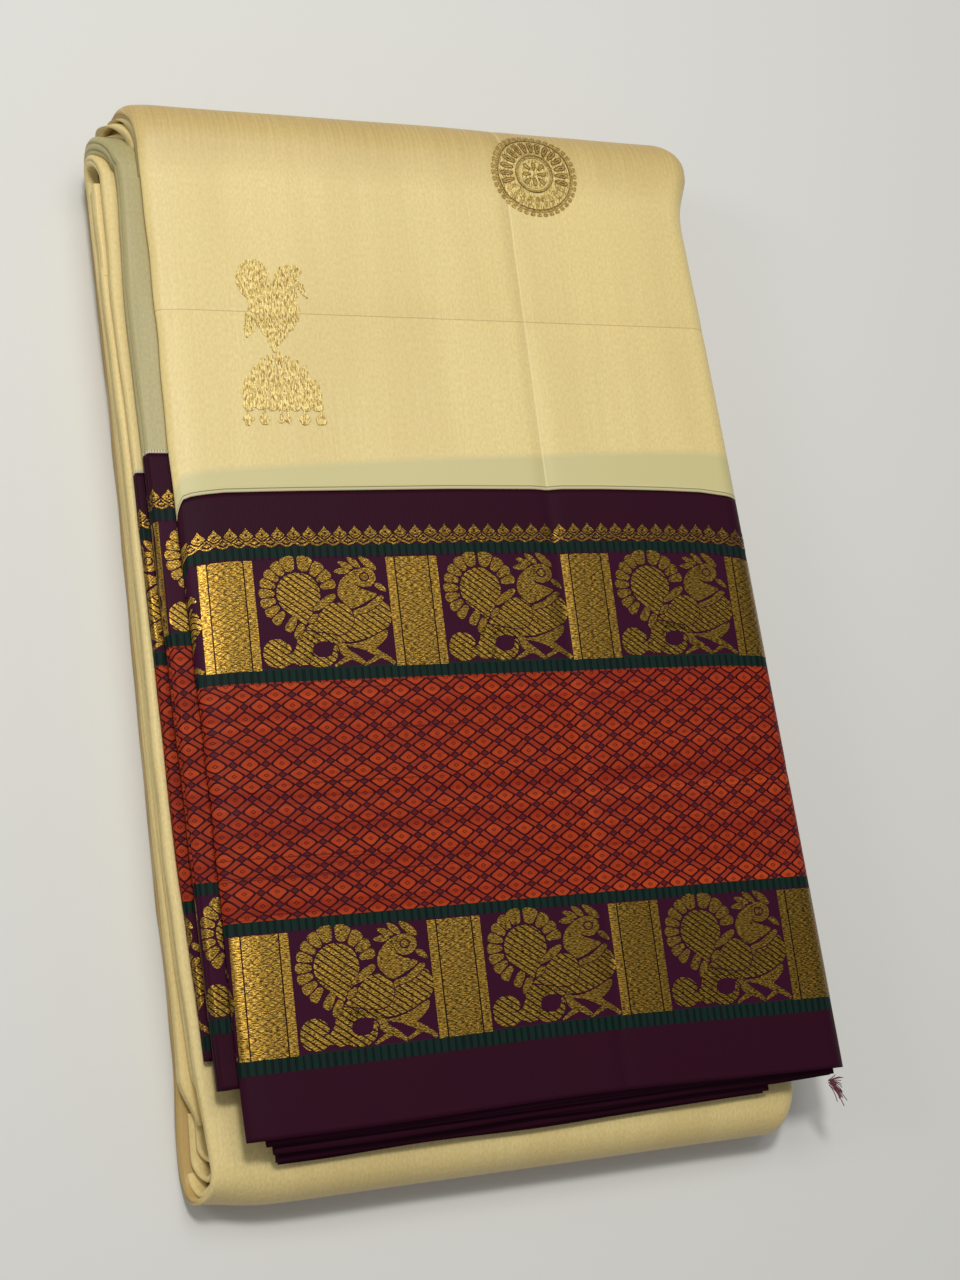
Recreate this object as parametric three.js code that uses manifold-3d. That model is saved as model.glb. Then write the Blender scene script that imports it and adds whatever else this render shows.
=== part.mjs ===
// A silk saree folded into a flat packet and laid down, its wide zari border on top.
// The long cloth is folded to a strip as wide as the packet, and the strip is folded across
// in three: a top slab with the border, a bottom slab and a middle slab tucked between them.
// Millimetres. +X runs with the saree's length, +Y goes from the selvedge to the big top fold.
import * as THREE from 'three';
import { mergeVertices } from 'three/addons/utils/BufferGeometryUtils.js';
import Module from 'manifold-3d';

const wasm = await Module();
wasm.setup();

// Driving sizes
const cloth = 1.3;            // wall of an outer stretch, a few layers of silk lying together
const seamGap = 0.3;          // space at a seam between two stretches
const topZ = 46;              // top of the packet
const middleTopZ = 28;        // top of the middle slab, on which the top slab lies
const seamY = 40.8;           // seam between the cream body and the woven border
const selvedgeY = -200;       // finished edge of the border on the top panel
const topFoldY = 186.8;       // middle of the big fold at the top end
const lowFoldY = -208.5;      // middle of the cream fold at the selvedge end
const lipHeight = 4.6;        // rolled left edge of the top panel
const topRightHeight = 17.6;  // right edge, where the outer sheet goes round the whole top slab
const lowLipHeight = 5.2;     // rolled left edge of the bottom and middle slabs
const lowRightHeight = 13.8;  // right edge of the bottom and middle slabs
const leftLeaf = 6;           // how far a rolled left edge goes back under itself
const rightLeaf = 10;         // the same at the right edge
const sideFoldDepth = 7;      // how far past the top panel's left edge the side folds go in
const secondFold = { top: 41.1, height: 8.1, turnY: 176, turnZ: 23.4, seamY: 57, endY: -181 };
const thirdFold = { top: 32.7, height: 4.4, turnY: 172, turnZ: 23, seamY: 52, endY: -170 };
const crease = { x: 28, upperY: 114.7, lowerY: -79.3, depth: 0.35, halfWidth: 4 };
const leftDip = { depth: 0.9, width: 16 };  // how the top panel falls away beside its left edge
const centre = { x: -5.36, y: -6.25 };  // middle of the packet's box, which becomes the origin

// Turns rows of numbers into rows with named columns
function named(columns, rows) {
  return rows.map((row) => Object.fromEntries(columns.map((column, i) => [column, row[i]])));
}

// How far each fold reaches at places along the packet: left edges of the stacked folds,
// and right edges of the top slab and of the two slabs below it.
const edgeTable = named(['y', 'first', 'second', 'third', 'middle', 'bottom', 'rightTop', 'rightLow'], [
  [-222, -119.0, -126.0, -128.0, -131.5, -134.8, 126.0, 114.5],
  [-200, -119.5, -126.5, -128.5, -132.0, -135.5, 125.6, 115.5],
  [-165, -120.5, -127.3, -129.2, -132.8, -134.0, 124.5, 117.0],
  [-90, -121.5, -129.5, -133.2, -136.5, -136.2, 122.3, 117.0],
  [-20, -123.0, -131.6, -135.2, -138.0, -137.2, 119.8, 117.0],
  [55, -125.5, -134.2, -137.2, -139.6, -138.2, 117.3, 116.0],
  [120, -126.3, -136.2, -140.0, -142.0, -139.8, 114.6, 115.0],
  [150, -126.8, -135.8, -140.0, -143.0, -140.4, 113.0, 115.0],
  [170, -127.3, -135.4, -140.3, -143.6, -141.0, 112.8, 115.5],
  [187, -127.6, -136.8, -141.2, -144.0, -141.4, 118.0, 116.0],
]);

// The same edges as the folds go down over the top end, by the angle turned.
const topTurnTable = [
  { angle: 0, first: -127.6, second: -136.8, third: -141.2, rightTop: 118.0 },
  { angle: 30, first: -129.0, second: -139.0, third: -142.4, rightTop: 118.4 },
  { angle: 60, first: -131.6, second: -142.6, third: -143.8, rightTop: 114.0 },
  { angle: 90, first: -132.4, second: -144.0, third: -144.6, rightTop: 111.0 },
  { angle: 135, first: -131.4, second: -143.4, third: -144.4, rightTop: 111.5 },
  { angle: 180, first: -130.0, second: -142.0, third: -143.6, rightTop: 113.0 },
];

// The edges of the cream fold as it turns up at the selvedge end.
const lowTurnTable = [
  { angle: 0, bottom: -135.2, rightLow: 115.0 },
  { angle: 50, bottom: -134.0, rightLow: 114.0 },
  { angle: 90, bottom: -133.0, rightLow: 112.5 },
  { angle: 130, bottom: -132.2, rightLow: 114.0 },
  { angle: 180, bottom: -131.6, rightLow: 115.0 },
];

// Stacked ends of the border inside the top slab, each a little longer than the one above it.
const selvedgeTable = [
  { zLow: 39.2, zHigh: 43.2, left: -112.4, right: 118.0, endY: -204.0 },
  { zLow: 34.7, zHigh: 38.9, left: -109.0, right: 121.5, endY: -206.4 },
  { zLow: 30.3, zHigh: 34.4, left: -106.4, right: 97.0, endY: -209.0 },
];
const selvedgeBackY = -164.5;

const silkColours = { body: 0xdccb92, shade: 0xb9ad7e, border: 0x34131f, thread: 0x7a1e3c };

// A smooth curve through one column of a table
function along(table, key, at, column) {
  const last = table.length - 1;
  const place = Math.min(Math.max(at, table[0][key]), table[last][key]);
  let i = 0;
  while (i < last - 1 && place > table[i + 1][key]) i += 1;
  const a = table[i];
  const b = table[i + 1];
  const before = table[Math.max(i - 1, 0)];
  const after = table[Math.min(i + 2, last)];
  const span = b[key] - a[key];
  const t = (place - a[key]) / span;
  const slopeA = (b[column] - before[column]) / (b[key] - before[key]) * span;
  const slopeB = (after[column] - a[column]) / (after[key] - a[key]) * span;
  const t2 = t * t;
  const t3 = t2 * t;
  return (2 * t3 - 3 * t2 + 1) * a[column] + (t3 - 2 * t2 + t) * slopeA
    + (3 * t2 - 2 * t3) * b[column] + (t3 - t2) * slopeB;
}

const edgeAt = (column, y) => along(edgeTable, 'y', y, column);
const mix = (a, b, t) => a + (b - a) * t;
const ease = (from, to, value) => THREE.MathUtils.smoothstep(value, from, to);

// Soft troughs where the packet was once folded smaller, and the dip beside the left edge
function panelRelief(x, y, left) {
  const trough = (offset) => Math.exp(-((offset / crease.halfWidth) ** 2));
  const creases = Math.max(trough(x - crease.x), trough(y - crease.upperY), trough(y - crease.lowerY));
  const dip = leftDip.depth * (1 - ease(left, left + leftDip.width, x));
  return -crease.depth * creases - dip;
}

// Stations along a sheet. Each has its place on the outer face, the way out of the cloth,
// and the sheet's left and right edges there.
function straightRun(yList, z, outZ, columns) {
  return yList.map((y) => ({
    y, z, outY: 0, outZ,
    left: edgeAt(columns.left, y),
    right: columns.right ? edgeAt(columns.right, y) : edgeAt('first', y) + sideFoldDepth,
    flat: outZ > 0,
  }));
}

function turnRun(fold, angles, startOutZ, table, columns) {
  return angles.map((angle) => {
    const turned = THREE.MathUtils.degToRad(angle);
    const outY = Math.sin(turned) * fold.side;
    const outZ = Math.cos(turned) * startOutZ;
    const tuckedIn = edgeAt('first', fold.y) + sideFoldDepth;
    return {
      y: fold.y + outY * fold.radius,
      z: fold.z + outZ * fold.radius,
      outY, outZ,
      left: along(table, 'angle', angle, columns.left),
      right: columns.right ? along(table, 'angle', angle, columns.right) : tuckedIn,
      flat: false,
    };
  });
}

// Outline of a sheet's section, one face of the wall: in from under the left roll, round it,
// across, and round the right roll if there is one. Depth goes down from the outer face.
function faceOutline(station, rolls, inset) {
  const { left, right } = station;
  const points = [];
  const leftRadius = rolls.leftHeight / 2;
  const arcSteps = 5;
  const leafEnd = rolls.rightHeight ? left + leftLeaf : right;
  points.push({ x: leafEnd, depth: rolls.leftHeight - inset, relief: 0 });
  for (let i = 0; i <= arcSteps; i += 1) {
    const angle = Math.PI * i / arcSteps;
    const reach = leftRadius - inset;
    points.push({
      x: left + leftRadius - Math.sin(angle) * reach,
      depth: leftRadius + Math.cos(angle) * reach,
      relief: i / arcSteps,
    });
  }
  if (!rolls.rightHeight) {
    points.push({ x: right, depth: inset, relief: 1 });
    return points;
  }
  const rightRadius = rolls.rightHeight / 2;
  const flatFrom = left + leftRadius;
  const flatTo = right - rightRadius;
  for (const x of rolls.across) {
    if (x > flatFrom + 1 && x < flatTo - 1) points.push({ x, depth: inset, relief: 1 });
  }
  const rightSteps = 8;
  for (let i = 0; i <= rightSteps; i += 1) {
    const angle = Math.PI * i / rightSteps;
    const reach = rightRadius - inset;
    points.push({
      x: flatTo + Math.sin(angle) * reach,
      depth: rightRadius - Math.cos(angle) * reach,
      relief: 1 - i / rightSteps,
    });
  }
  points.push({ x: right - rightLeaf, depth: rolls.rightHeight - inset, relief: 0 });
  return points;
}

// Points and triangles become one closed mesh with its faces pointing out
function closedGeometry(points, triangles) {
  let volume = 0;
  for (const [a, b, c] of triangles) {
    const cross = new THREE.Vector3().crossVectors(points[b], points[c]);
    volume += points[a].dot(cross);
  }
  const index = volume > 0 ? triangles.flat() : triangles.flatMap(([a, b, c]) => [a, c, b]);
  const geometry = new THREE.BufferGeometry().setFromPoints(points);
  geometry.setIndex(index);
  return geometry;
}

// A wall swept through its stations
function sheetWall(stations, rolls) {
  const points = [];
  const triangles = [];
  let ring = 0;
  for (const station of stations) {
    const outer = faceOutline(station, rolls, 0);
    const inner = faceOutline(station, rolls, cloth).reverse();
    ring = outer.length * 2;
    for (const point of [...outer, ...inner]) {
      const relief = station.flat && rolls.relief ? panelRelief(point.x, station.y, station.left) : 0;
      const depth = point.depth - relief * point.relief;
      const y = station.y - station.outY * depth;
      const z = station.z - station.outZ * depth;
      points.push(new THREE.Vector3(point.x - centre.x, y - centre.y, z));
    }
  }
  for (let s = 0; s < stations.length - 1; s += 1) {
    for (let i = 0; i < ring; i += 1) {
      const a = s * ring + i;
      const b = s * ring + (i + 1) % ring;
      triangles.push([a, b, b + ring], [a, b + ring, a + ring]);
    }
  }
  const last = (stations.length - 1) * ring;
  for (let i = 0; i < ring / 2 - 1; i += 1) {
    const mirror = ring - 1 - i;
    triangles.push([i, mirror, mirror - 1], [i, mirror - 1, i + 1]);
    triangles.push([last + i, last + mirror - 1, last + mirror]);
    triangles.push([last + i, last + i + 1, last + mirror - 1]);
  }
  return closedGeometry(points, triangles);
}

// A solid through closed outlines, each { y, outline: [[x, z], ...] } with as many points
function loft(sections) {
  const points = [];
  const triangles = [];
  const count = sections[0].outline.length;
  for (const { y, outline } of sections) {
    for (const [x, z] of outline) points.push(new THREE.Vector3(x - centre.x, y - centre.y, z));
  }
  for (let s = 0; s < sections.length - 1; s += 1) {
    for (let i = 0; i < count; i += 1) {
      const a = s * count + i;
      const b = s * count + (i + 1) % count;
      triangles.push([a, b, b + count], [a, b + count, a + count]);
    }
  }
  const capFor = (section) => THREE.ShapeUtils.triangulateShape(
    section.outline.map(([x, z]) => new THREE.Vector2(x, z)), []);
  const last = (sections.length - 1) * count;
  const clockwise = THREE.ShapeUtils.isClockWise(
    sections[0].outline.map(([x, z]) => new THREE.Vector2(x, z)));
  for (const [a, b, c] of capFor(sections[0])) triangles.push(clockwise ? [a, b, c] : [a, c, b]);
  for (const [a, b, c] of capFor(sections.at(-1))) {
    triangles.push(clockwise ? [last + a, last + c, last + b] : [last + a, last + b, last + c]);
  }
  return closedGeometry(points, triangles);
}

// Joins overlapping closed solids into one
function join(geometries) {
  const solids = geometries.map((geometry) => {
    const bare = geometry.clone();
    bare.deleteAttribute('normal');
    bare.deleteAttribute('uv');
    const merged = mergeVertices(bare, 1e-4);
    return new wasm.Manifold(new wasm.Mesh({
      numProp: 3,
      vertProperties: new Float32Array(merged.attributes.position.array),
      triVerts: new Uint32Array(merged.index.array),
    }));
  });
  const whole = solids.reduce((sum, solid) => sum.add(solid));
  const mesh = whole.getMesh();
  const places = new Float32Array(mesh.vertProperties);
  const geometry = new THREE.BufferGeometry();
  geometry.setAttribute('position', new THREE.BufferAttribute(places, 3));
  geometry.setIndex(new THREE.BufferAttribute(new Uint32Array(mesh.triVerts), 1));
  return geometry;
}

// The outer sheet: top panel, over the top end, along under the packet and up round the cream fold
const panelAcross = [-112, -100, -60, -20, 16, 24, 28, 32, 40, 70, 100];
const lowAcross = [-118, -60, 0, 60, 100];
const topRolls = {
  leftHeight: lipHeight,
  rightHeight: topRightHeight,
  across: panelAcross,
  relief: true,
};
const lowRolls = {
  leftHeight: lowLipHeight,
  rightHeight: lowRightHeight,
  across: lowAcross,
  relief: false,
};

function topBorder() {
  const topEnd = seamY - seamGap;
  const yList = [selvedgeY, -165, -120, -90, -83.3, crease.lowerY, -75.3, -60, -20, 20, topEnd];
  return sheetWall(straightRun(yList, topZ, 1, { left: 'first', right: 'rightTop' }), topRolls);
}

function topBody() {
  const columns = { left: 'first', right: 'rightTop' };
  const yList = [seamY, 75, 110.7, crease.upperY, 118.7, 135, 150, 160, 170, 178];
  const fold = { y: topFoldY, z: topZ / 2, radius: topZ / 2, side: 1 };
  const angles = [0, 15, 30, 45, 60, 75, 90, 110, 130, 155, 180];
  const stations = [
    ...straightRun(yList, topZ, 1, columns),
    ...turnRun(fold, angles, 1, topTurnTable, columns),
  ];
  return sheetWall(stations, topRolls);
}

function lowerWrap() {
  const underColumns = { left: 'bottom', right: 'rightLow' };
  const middleColumns = { left: 'middle', right: 'rightLow' };
  const underY = [topFoldY - seamGap, 150, 100, 50, -20, -90, -165, -195];
  const middleY = [-200, -185, -165, -130, -90, -20, 50, 100, 140];
  const fold = { y: lowFoldY, z: middleTopZ / 2, radius: middleTopZ / 2, side: -1 };
  const angles = [0, 20, 40, 60, 80, 100, 120, 140, 160, 180];
  const stations = [
    ...straightRun(underY, 0, -1, underColumns),
    ...turnRun(fold, angles, -1, lowTurnTable, underColumns),
    ...straightRun(middleY, middleTopZ, 1, middleColumns),
  ];
  return sheetWall(stations, lowRolls);
}

// A folded edge that shows beside the top slab, with its own border below the seam
function sideFoldBorder(fold, column) {
  const yList = [fold.endY, -150, -120, -90, -55, -20, 20, fold.seamY - seamGap];
  return sheetWall(straightRun(yList, fold.top, 1, { left: column }), { leftHeight: fold.height });
}

function sideFoldBody(fold, column) {
  const radius = fold.top - fold.turnZ;
  const yList = [fold.seamY, 90, 120, 150, 165];
  const turn = { y: fold.turnY, z: fold.turnZ, radius, side: 1 };
  const angles = [0, 25, 50, 75, 100, 125, 150, 180];
  const stations = [
    ...straightRun(yList, fold.top, 1, { left: column }),
    ...turnRun(turn, angles, 1, topTurnTable, { left: column }),
  ];
  return sheetWall(stations, { leftHeight: fold.height });
}

// The layers that lie inside share one rounded solid. Its edges show them as rolls.
const inner = {
  bottomZ: 1.8,
  middleTopZ: 26.2,
  topZ: 44,
  left: -119.2,        // left side at the two ends, where the mouths between the folds lie open
  endRight: 100,       // right side inside the big top fold
  endRadius: 21,
  lowRadius: 5.1,      // right edges of the two lower slabs
  topRadius: 7.1,      // right edge of the top slab
  behindLips: 8.5,     // from a lower slab's left edge to the layers behind its rolled lip
};
const leftRolls = [
  { column: 'bottom', low: 5.6, high: 9.6, reach: 0 },
  { column: 'bottom', low: 9.6, high: 13.9, reach: -0.4 },
  { column: 'middle', low: 14.1, high: 18.2, reach: 0.6 },
  { column: 'middle', low: 18.2, high: 22.4, reach: 0.9 },
];

function roundEnd(x, middleZ, radius, steps) {
  const points = [];
  for (let i = 0; i <= steps; i += 1) {
    const angle = Math.PI / 2 - Math.PI * i / steps;
    points.push([x - radius + Math.cos(angle) * radius, middleZ + Math.sin(angle) * radius]);
  }
  return points;
}

function lowerSection(y) {
  const tucked = Math.max(1 - ease(-183, -176, y), ease(156, 163, y));
  const clearOfTurn = (rightLeaf + 1.5) * (1 - ease(lowFoldY, lowFoldY + 3.5, y));
  const inward = (x, z) => [mix(x, inner.left + z * 0.05, tucked), z];
  const backX = Math.max(edgeAt('bottom', y), edgeAt('middle', y)) + inner.behindLips;
  const outline = [inward(backX, inner.bottomZ), inward(backX, 5.5)];
  for (const roll of leftRolls) {
    const edge = edgeAt(roll.column, y) + roll.reach;
    const rise = roll.high - roll.low;
    outline.push(inward(edge + 2.2, roll.low + 0.05));
    outline.push(inward(edge + 0.2, roll.low + rise * 0.28));
    outline.push(inward(edge + 0.2, roll.low + rise * 0.72));
    outline.push(inward(edge + 2.2, roll.high - 0.05));
  }
  outline.push(inward(backX, 22.5), inward(backX, inner.middleTopZ));
  const right = edgeAt('rightLow', y) - cloth - 0.5 - clearOfTurn;
  const radius = inner.lowRadius;
  outline.push(...roundEnd(right, inner.middleTopZ - radius, radius, 5));
  outline.push([right - rightLeaf, inner.middleTopZ - 2 * radius]);
  outline.push([right - rightLeaf, inner.bottomZ + 2 * radius]);
  outline.push(...roundEnd(right, inner.bottomZ + radius, radius, 5));
  const half = (inner.middleTopZ - inner.bottomZ) / 2;
  const past = Math.max(lowFoldY - y, 0);
  const squeeze = Math.sqrt(Math.max(half * half - past * past, 0)) / half;
  const middle = middleTopZ / 2;
  return { y, outline: outline.map(([x, z]) => [x, middle + (z - middle) * squeeze]) };
}

function upperSection(y) {
  const left = edgeAt('first', y) + sideFoldDepth + 1.2;
  const right = edgeAt('rightTop', y) - cloth - 0.7;
  const radius = inner.topRadius;
  const low = middleTopZ + 0.5;
  const high = inner.topZ;
  const rightEnd = roundEnd(right, high - radius, radius, 5);
  const back = right - rightLeaf - 1;
  const outline = [[left, low], [left, 41], [left + 9, high], ...rightEnd];
  outline.push([back, high - 2 * radius], [back, low]);
  return { y, outline };
}

function endSection(y) {
  const past = Math.max(y - topFoldY, 0);
  const half = Math.sqrt(inner.endRadius ** 2 - past ** 2);
  const middle = topZ / 2;
  const right = inner.endRight;
  const bevel = Math.min(half * 0.3, 3);
  const corner = (x, side, z) => [x, middle + side * z];
  return {
    y,
    outline: [
      corner(inner.left, -1, half - bevel), corner(inner.left, 1, half - bevel),
      corner(inner.left + 4, 1, half), corner(right - 4, 1, half),
      corner(right, 1, half - bevel), corner(right, -1, half - bevel),
      corner(right - 4, -1, half), corner(inner.left + 4, -1, half),
    ],
  };
}

function innerLayers() {
  const mouthY = [-220.3, -218.5, -215, -211, -208.5, -205, -195, -183.5, -176, -165];
  const lowerY = [...mouthY, -125, -90, -20, 55, 100, 140, 156, 163.5, 168];
  const upperY = [selvedgeBackY + seamGap, -120, -55, 10, 75, 130, 150, 166];
  const endY = [160, topFoldY, 194, 200, 204, 207];
  return join([
    loft(lowerY.map(lowerSection)),
    loft(upperY.map(upperSection)),
    loft(endY.map(endSection)),
  ]);
}

// One more layer that shows inside the mouth of the cream fold
function lowerInnerLayer() {
  const inside = { left: -131.2, right: -121.4, reach: 8.5, centreY: -204.5, backY: -185 };
  const place = (y, z, outY, outZ) => ({
    y, z, outY, outZ, left: inside.left, right: inside.right, flat: false,
  });
  const middle = middleTopZ / 2;
  const stations = [place(inside.backY, middle - inside.reach, 0, -1)];
  for (let angle = 0; angle <= 180; angle += 20) {
    const turned = THREE.MathUtils.degToRad(angle);
    const outY = -Math.sin(turned);
    const outZ = -Math.cos(turned);
    stations.push(place(inside.centreY + outY * inside.reach, middle + outZ * inside.reach, outY, outZ));
  }
  stations.push(place(inside.backY, middle + inside.reach, 0, 1));
  return sheetWall(stations, { leftHeight: 3.2 });
}

function selvedgeLayers() {
  const solids = selvedgeTable.map((layer) => {
    const low = layer.zLow;
    const bevel = 0.8;
    const outlineAt = (inset) => [
      [layer.left + inset, low + inset], [layer.left + inset, layer.zHigh - inset],
      [layer.right - inset, layer.zHigh - inset], [layer.right - inset, low + inset],
    ];
    return loft([
      { y: layer.endY, outline: outlineAt(bevel) },
      { y: layer.endY + bevel, outline: outlineAt(0) },
      { y: selvedgeBackY, outline: outlineAt(0) },
    ]);
  });
  const narrow = selvedgeTable.at(-1);
  const backing = [
    [narrow.left + 1, narrow.zLow + 0.5], [narrow.left + 1, selvedgeTable[0].zHigh - 0.5],
    [narrow.right - 1, selvedgeTable[0].zHigh - 0.5], [narrow.right - 1, narrow.zLow + 0.5],
  ];
  solids.push(loft([{ y: -190, outline: backing }, { y: selvedgeBackY - 0.2, outline: backing }]));
  return join(solids);
}

// Loose thread ends at the selvedge's right corner
const tuft = { x: 121.8, y: -204.6, z: 37.0, size: 2.6, strands: 10, thread: 0.55 };

function threadTuft() {
  const { x, y, z, size } = tuft;
  const root = loft([
    { y: y - size / 2, outline: [[x, z - 1], [x, z + 1], [x + size, z + 1], [x + size, z - 1]] },
    { y: y + size / 2, outline: [[x, z - 1], [x, z + 1], [x + size, z + 1], [x + size, z - 1]] },
  ]);
  const solids = [root];
  for (let i = 0; i < tuft.strands; i += 1) {
    const fan = i / (tuft.strands - 1) - 0.5;
    const reach = 8.5 - 3 * Math.abs(fan) + (i % 3);
    const startX = x + size - 1.2 - centre.x;
    const start = new THREE.Vector3(startX, y - centre.y + fan * 1.4, z + fan * 0.8);
    const rise = new THREE.Vector3(reach * 0.5, -1.6 + fan * 4, 0.8 - 1.2 * (i % 2));
    const droop = new THREE.Vector3(reach, -4.5 + fan * 9, -2.2 - 1.4 * (i % 3));
    const middle = start.clone().add(rise);
    const end = start.clone().add(droop);
    const curve = new THREE.QuadraticBezierCurve3(start, middle, end);
    const half = tuft.thread / 2;
    const section = new THREE.Shape([
      new THREE.Vector2(half, 0), new THREE.Vector2(-half, half), new THREE.Vector2(-half, -half),
    ]);
    const strand = { steps: 4, extrudePath: curve, bevelEnabled: false };
    solids.push(new THREE.ExtrudeGeometry(section, strand));
  }
  return join(solids);
}

function silk(name, geometry, colour, roughness) {
  geometry.computeVertexNormals();
  const material = new THREE.MeshStandardMaterial({ color: colour, roughness, metalness: 0 });
  const mesh = new THREE.Mesh(geometry, material);
  mesh.name = name;
  return mesh;
}

const saree = new THREE.Group();
saree.add(
  silk('inner_layers', innerLayers(), silkColours.body, 0.6),
  silk('top_border', topBorder(), silkColours.border, 0.45),
  silk('top_body', topBody(), silkColours.body, 0.45),
  silk('lower_wrap', lowerWrap(), silkColours.body, 0.45),
  silk('second_fold_body', sideFoldBody(secondFold, 'second'), silkColours.shade, 0.5),
  silk('second_fold_border', sideFoldBorder(secondFold, 'second'), silkColours.border, 0.5),
  silk('third_fold_body', sideFoldBody(thirdFold, 'third'), silkColours.body, 0.5),
  silk('third_fold_border', sideFoldBorder(thirdFold, 'third'), silkColours.border, 0.5),
  silk('lower_inner_layer', lowerInnerLayer(), silkColours.shade, 0.55),
  silk('selvedge_layers', selvedgeLayers(), silkColours.border, 0.5),
  silk('thread_tuft', threadTuft(), silkColours.thread, 0.7),
);

export default saree;
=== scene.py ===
# A folded silk saree with a wide zari border, lying flat.
# Cloth is laid on grids along each fold and given a thin wall; the gold figures are laid on it.
import math
from functools import partial
import bpy
import numpy as np
from mathutils import Matrix, Vector
from mathutils.geometry import delaunay_2d_cdt


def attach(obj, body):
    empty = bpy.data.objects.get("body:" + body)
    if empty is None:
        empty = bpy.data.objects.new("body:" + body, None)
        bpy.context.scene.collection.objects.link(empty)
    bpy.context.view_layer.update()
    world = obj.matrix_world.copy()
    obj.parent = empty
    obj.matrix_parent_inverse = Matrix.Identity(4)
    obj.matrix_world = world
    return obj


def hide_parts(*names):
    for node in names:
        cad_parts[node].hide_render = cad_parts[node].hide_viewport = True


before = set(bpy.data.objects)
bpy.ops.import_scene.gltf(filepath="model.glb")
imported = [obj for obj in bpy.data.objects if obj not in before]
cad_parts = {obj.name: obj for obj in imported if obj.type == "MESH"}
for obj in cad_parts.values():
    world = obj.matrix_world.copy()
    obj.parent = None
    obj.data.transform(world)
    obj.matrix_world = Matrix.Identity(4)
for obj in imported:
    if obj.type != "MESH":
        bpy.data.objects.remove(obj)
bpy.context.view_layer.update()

mm = 0.001
centre = {"x": -5.36, "y": -6.25}  # the packet's middle, as in the solids

# Measures of the folded packet, in millimetres
packet = {
    "topZ": 46.0,
    "middleTopZ": 28.0,
    "seam": 41.0,
    "selvedgeY": -200.0,
    "topFoldY": 186.8,
    "lowFoldY": -208.5,
    "seamGap": 0.3,
    "leftLeaf": 6.0,
    "rightLeaf": 10.0,
    "sideFoldDepth": 7.0,
}
halfGap = packet["seamGap"] / 2
crease = {"x": 28.0, "upperY": 114.7, "lowerY": -79.3, "depth": 0.3}
# the woven border: figure repeat, first bar, and its two figure bands along the cloth
border = {
    "pitch": 74.5, "barLeft": -119.2, "barWidth": 21.1,
    "firstBand": (-30.3, 13.6), "secondBand": (-172.3, -128.2),
}


def columnsOf(names, rows):
    return {name: np.array([row[i] for row in rows], float) for i, name in enumerate(names)}


edgeTable = columnsOf(("y", "first", "second", "third", "middle", "bottom", "rightTop", "rightLow"), (
    (-222, -119.0, -126.0, -128.0, -127.8, -135.4, 126.0, 110.0),
    (-200, -119.5, -126.5, -128.5, -129.4, -135.6, 125.6, 111.5),
    (-165, -120.5, -127.3, -129.2, -132.4, -134.4, 124.5, 116.0),
    (-90, -121.5, -129.5, -133.2, -136.5, -136.2, 122.3, 117.0),
    (-20, -123.0, -131.6, -135.2, -138.0, -137.2, 119.8, 117.0),
    (55, -125.5, -134.2, -137.2, -139.6, -138.2, 117.3, 116.0),
    (120, -126.3, -136.2, -140.0, -142.0, -139.8, 114.6, 115.0),
    (150, -126.8, -135.8, -140.0, -143.0, -140.4, 113.0, 115.0),
    (170, -127.3, -135.4, -140.3, -143.6, -141.0, 112.8, 115.5),
    (187, -127.6, -136.8, -141.2, -144.0, -141.4, 118.0, 116.0),
))
topTurnTable = columnsOf(("y", "first", "second", "third", "rightTop"), (
    (0, -127.6, -136.8, -141.2, 118.0),
    (30, -129.0, -139.0, -142.4, 118.4),
    (60, -131.6, -142.6, -143.8, 114.0),
    (90, -132.4, -144.0, -144.6, 111.0),
    (135, -131.4, -143.4, -144.4, 111.5),
    (180, -130.0, -142.0, -143.6, 113.0),
))
lowTurnTable = columnsOf(("y", "bottom", "rightLow"), (
    (0, -135.6, 110.5),
    (50, -134.4, 109.6),
    (90, -132.4, 107.6),
    (130, -130.0, 107.8),
    (180, -128.6, 110.2),
))

print("silk saree: measures ready")


# Curves, runs and folds

def curveAt(table, column, at):
    # smooth curve through one column of a table, as in the solids
    xs, ys = table["y"], table[column]
    last = len(xs) - 1
    place = np.clip(np.asarray(at, float), xs[0], xs[-1])
    i = np.clip(np.searchsorted(xs, place) - 1, 0, last - 1)
    before, after = np.maximum(i - 1, 0), np.minimum(i + 2, last)
    span = xs[i + 1] - xs[i]
    t = (place - xs[i]) / span
    slopeA = (ys[i + 1] - ys[before]) / (xs[i + 1] - xs[before]) * span
    slopeB = (ys[after] - ys[i]) / (xs[after] - xs[i]) * span
    return ((2 * t**3 - 3 * t**2 + 1) * ys[i] + (t**3 - 2 * t**2 + t) * slopeA
            + (3 * t**2 - 2 * t**3) * ys[i + 1] + (t**3 - t**2) * slopeB)


def ease(start, end, value):
    t = np.clip((value - start) / (end - start), 0, 1)
    return t * t * (3 - 2 * t)


def trough(off, width):
    # a soft hollow or swelling, 1 at its middle
    return np.exp(-(off / width) ** 2)


def softWaves(u, v, seed, size, stretch=1.0):
    # gentle unevenness: a few crossing waves, about one unit high, the same on every run
    draw = np.random.default_rng(seed)
    total = 0.0
    for i in range(7):
        turned = draw.uniform(0, math.pi)
        pitch = size * draw.uniform(0.6, 1.7)
        start = draw.uniform(0, 2 * math.pi)
        across = u * math.cos(turned) + v * math.sin(turned) / stretch
        total = total + np.sin(2 * math.pi * across / pitch + start)
    return total / 4.0


def straightRun(yFrom, yTo, z, outZ, left, right=None, step=1.0):
    count = max(2, int(abs(yTo - yFrom) / step) + 1)
    y = np.linspace(yFrom, yTo, count)
    covered = curveAt(edgeTable, "first", y) + packet["sideFoldDepth"]
    return {
        "y": y, "z": np.full(count, float(z)), "outY": np.zeros(count), "outZ": np.full(count, float(outZ)),
        "left": curveAt(edgeTable, left, y), "right": curveAt(edgeTable, right, y) if right else covered,
    }


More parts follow.
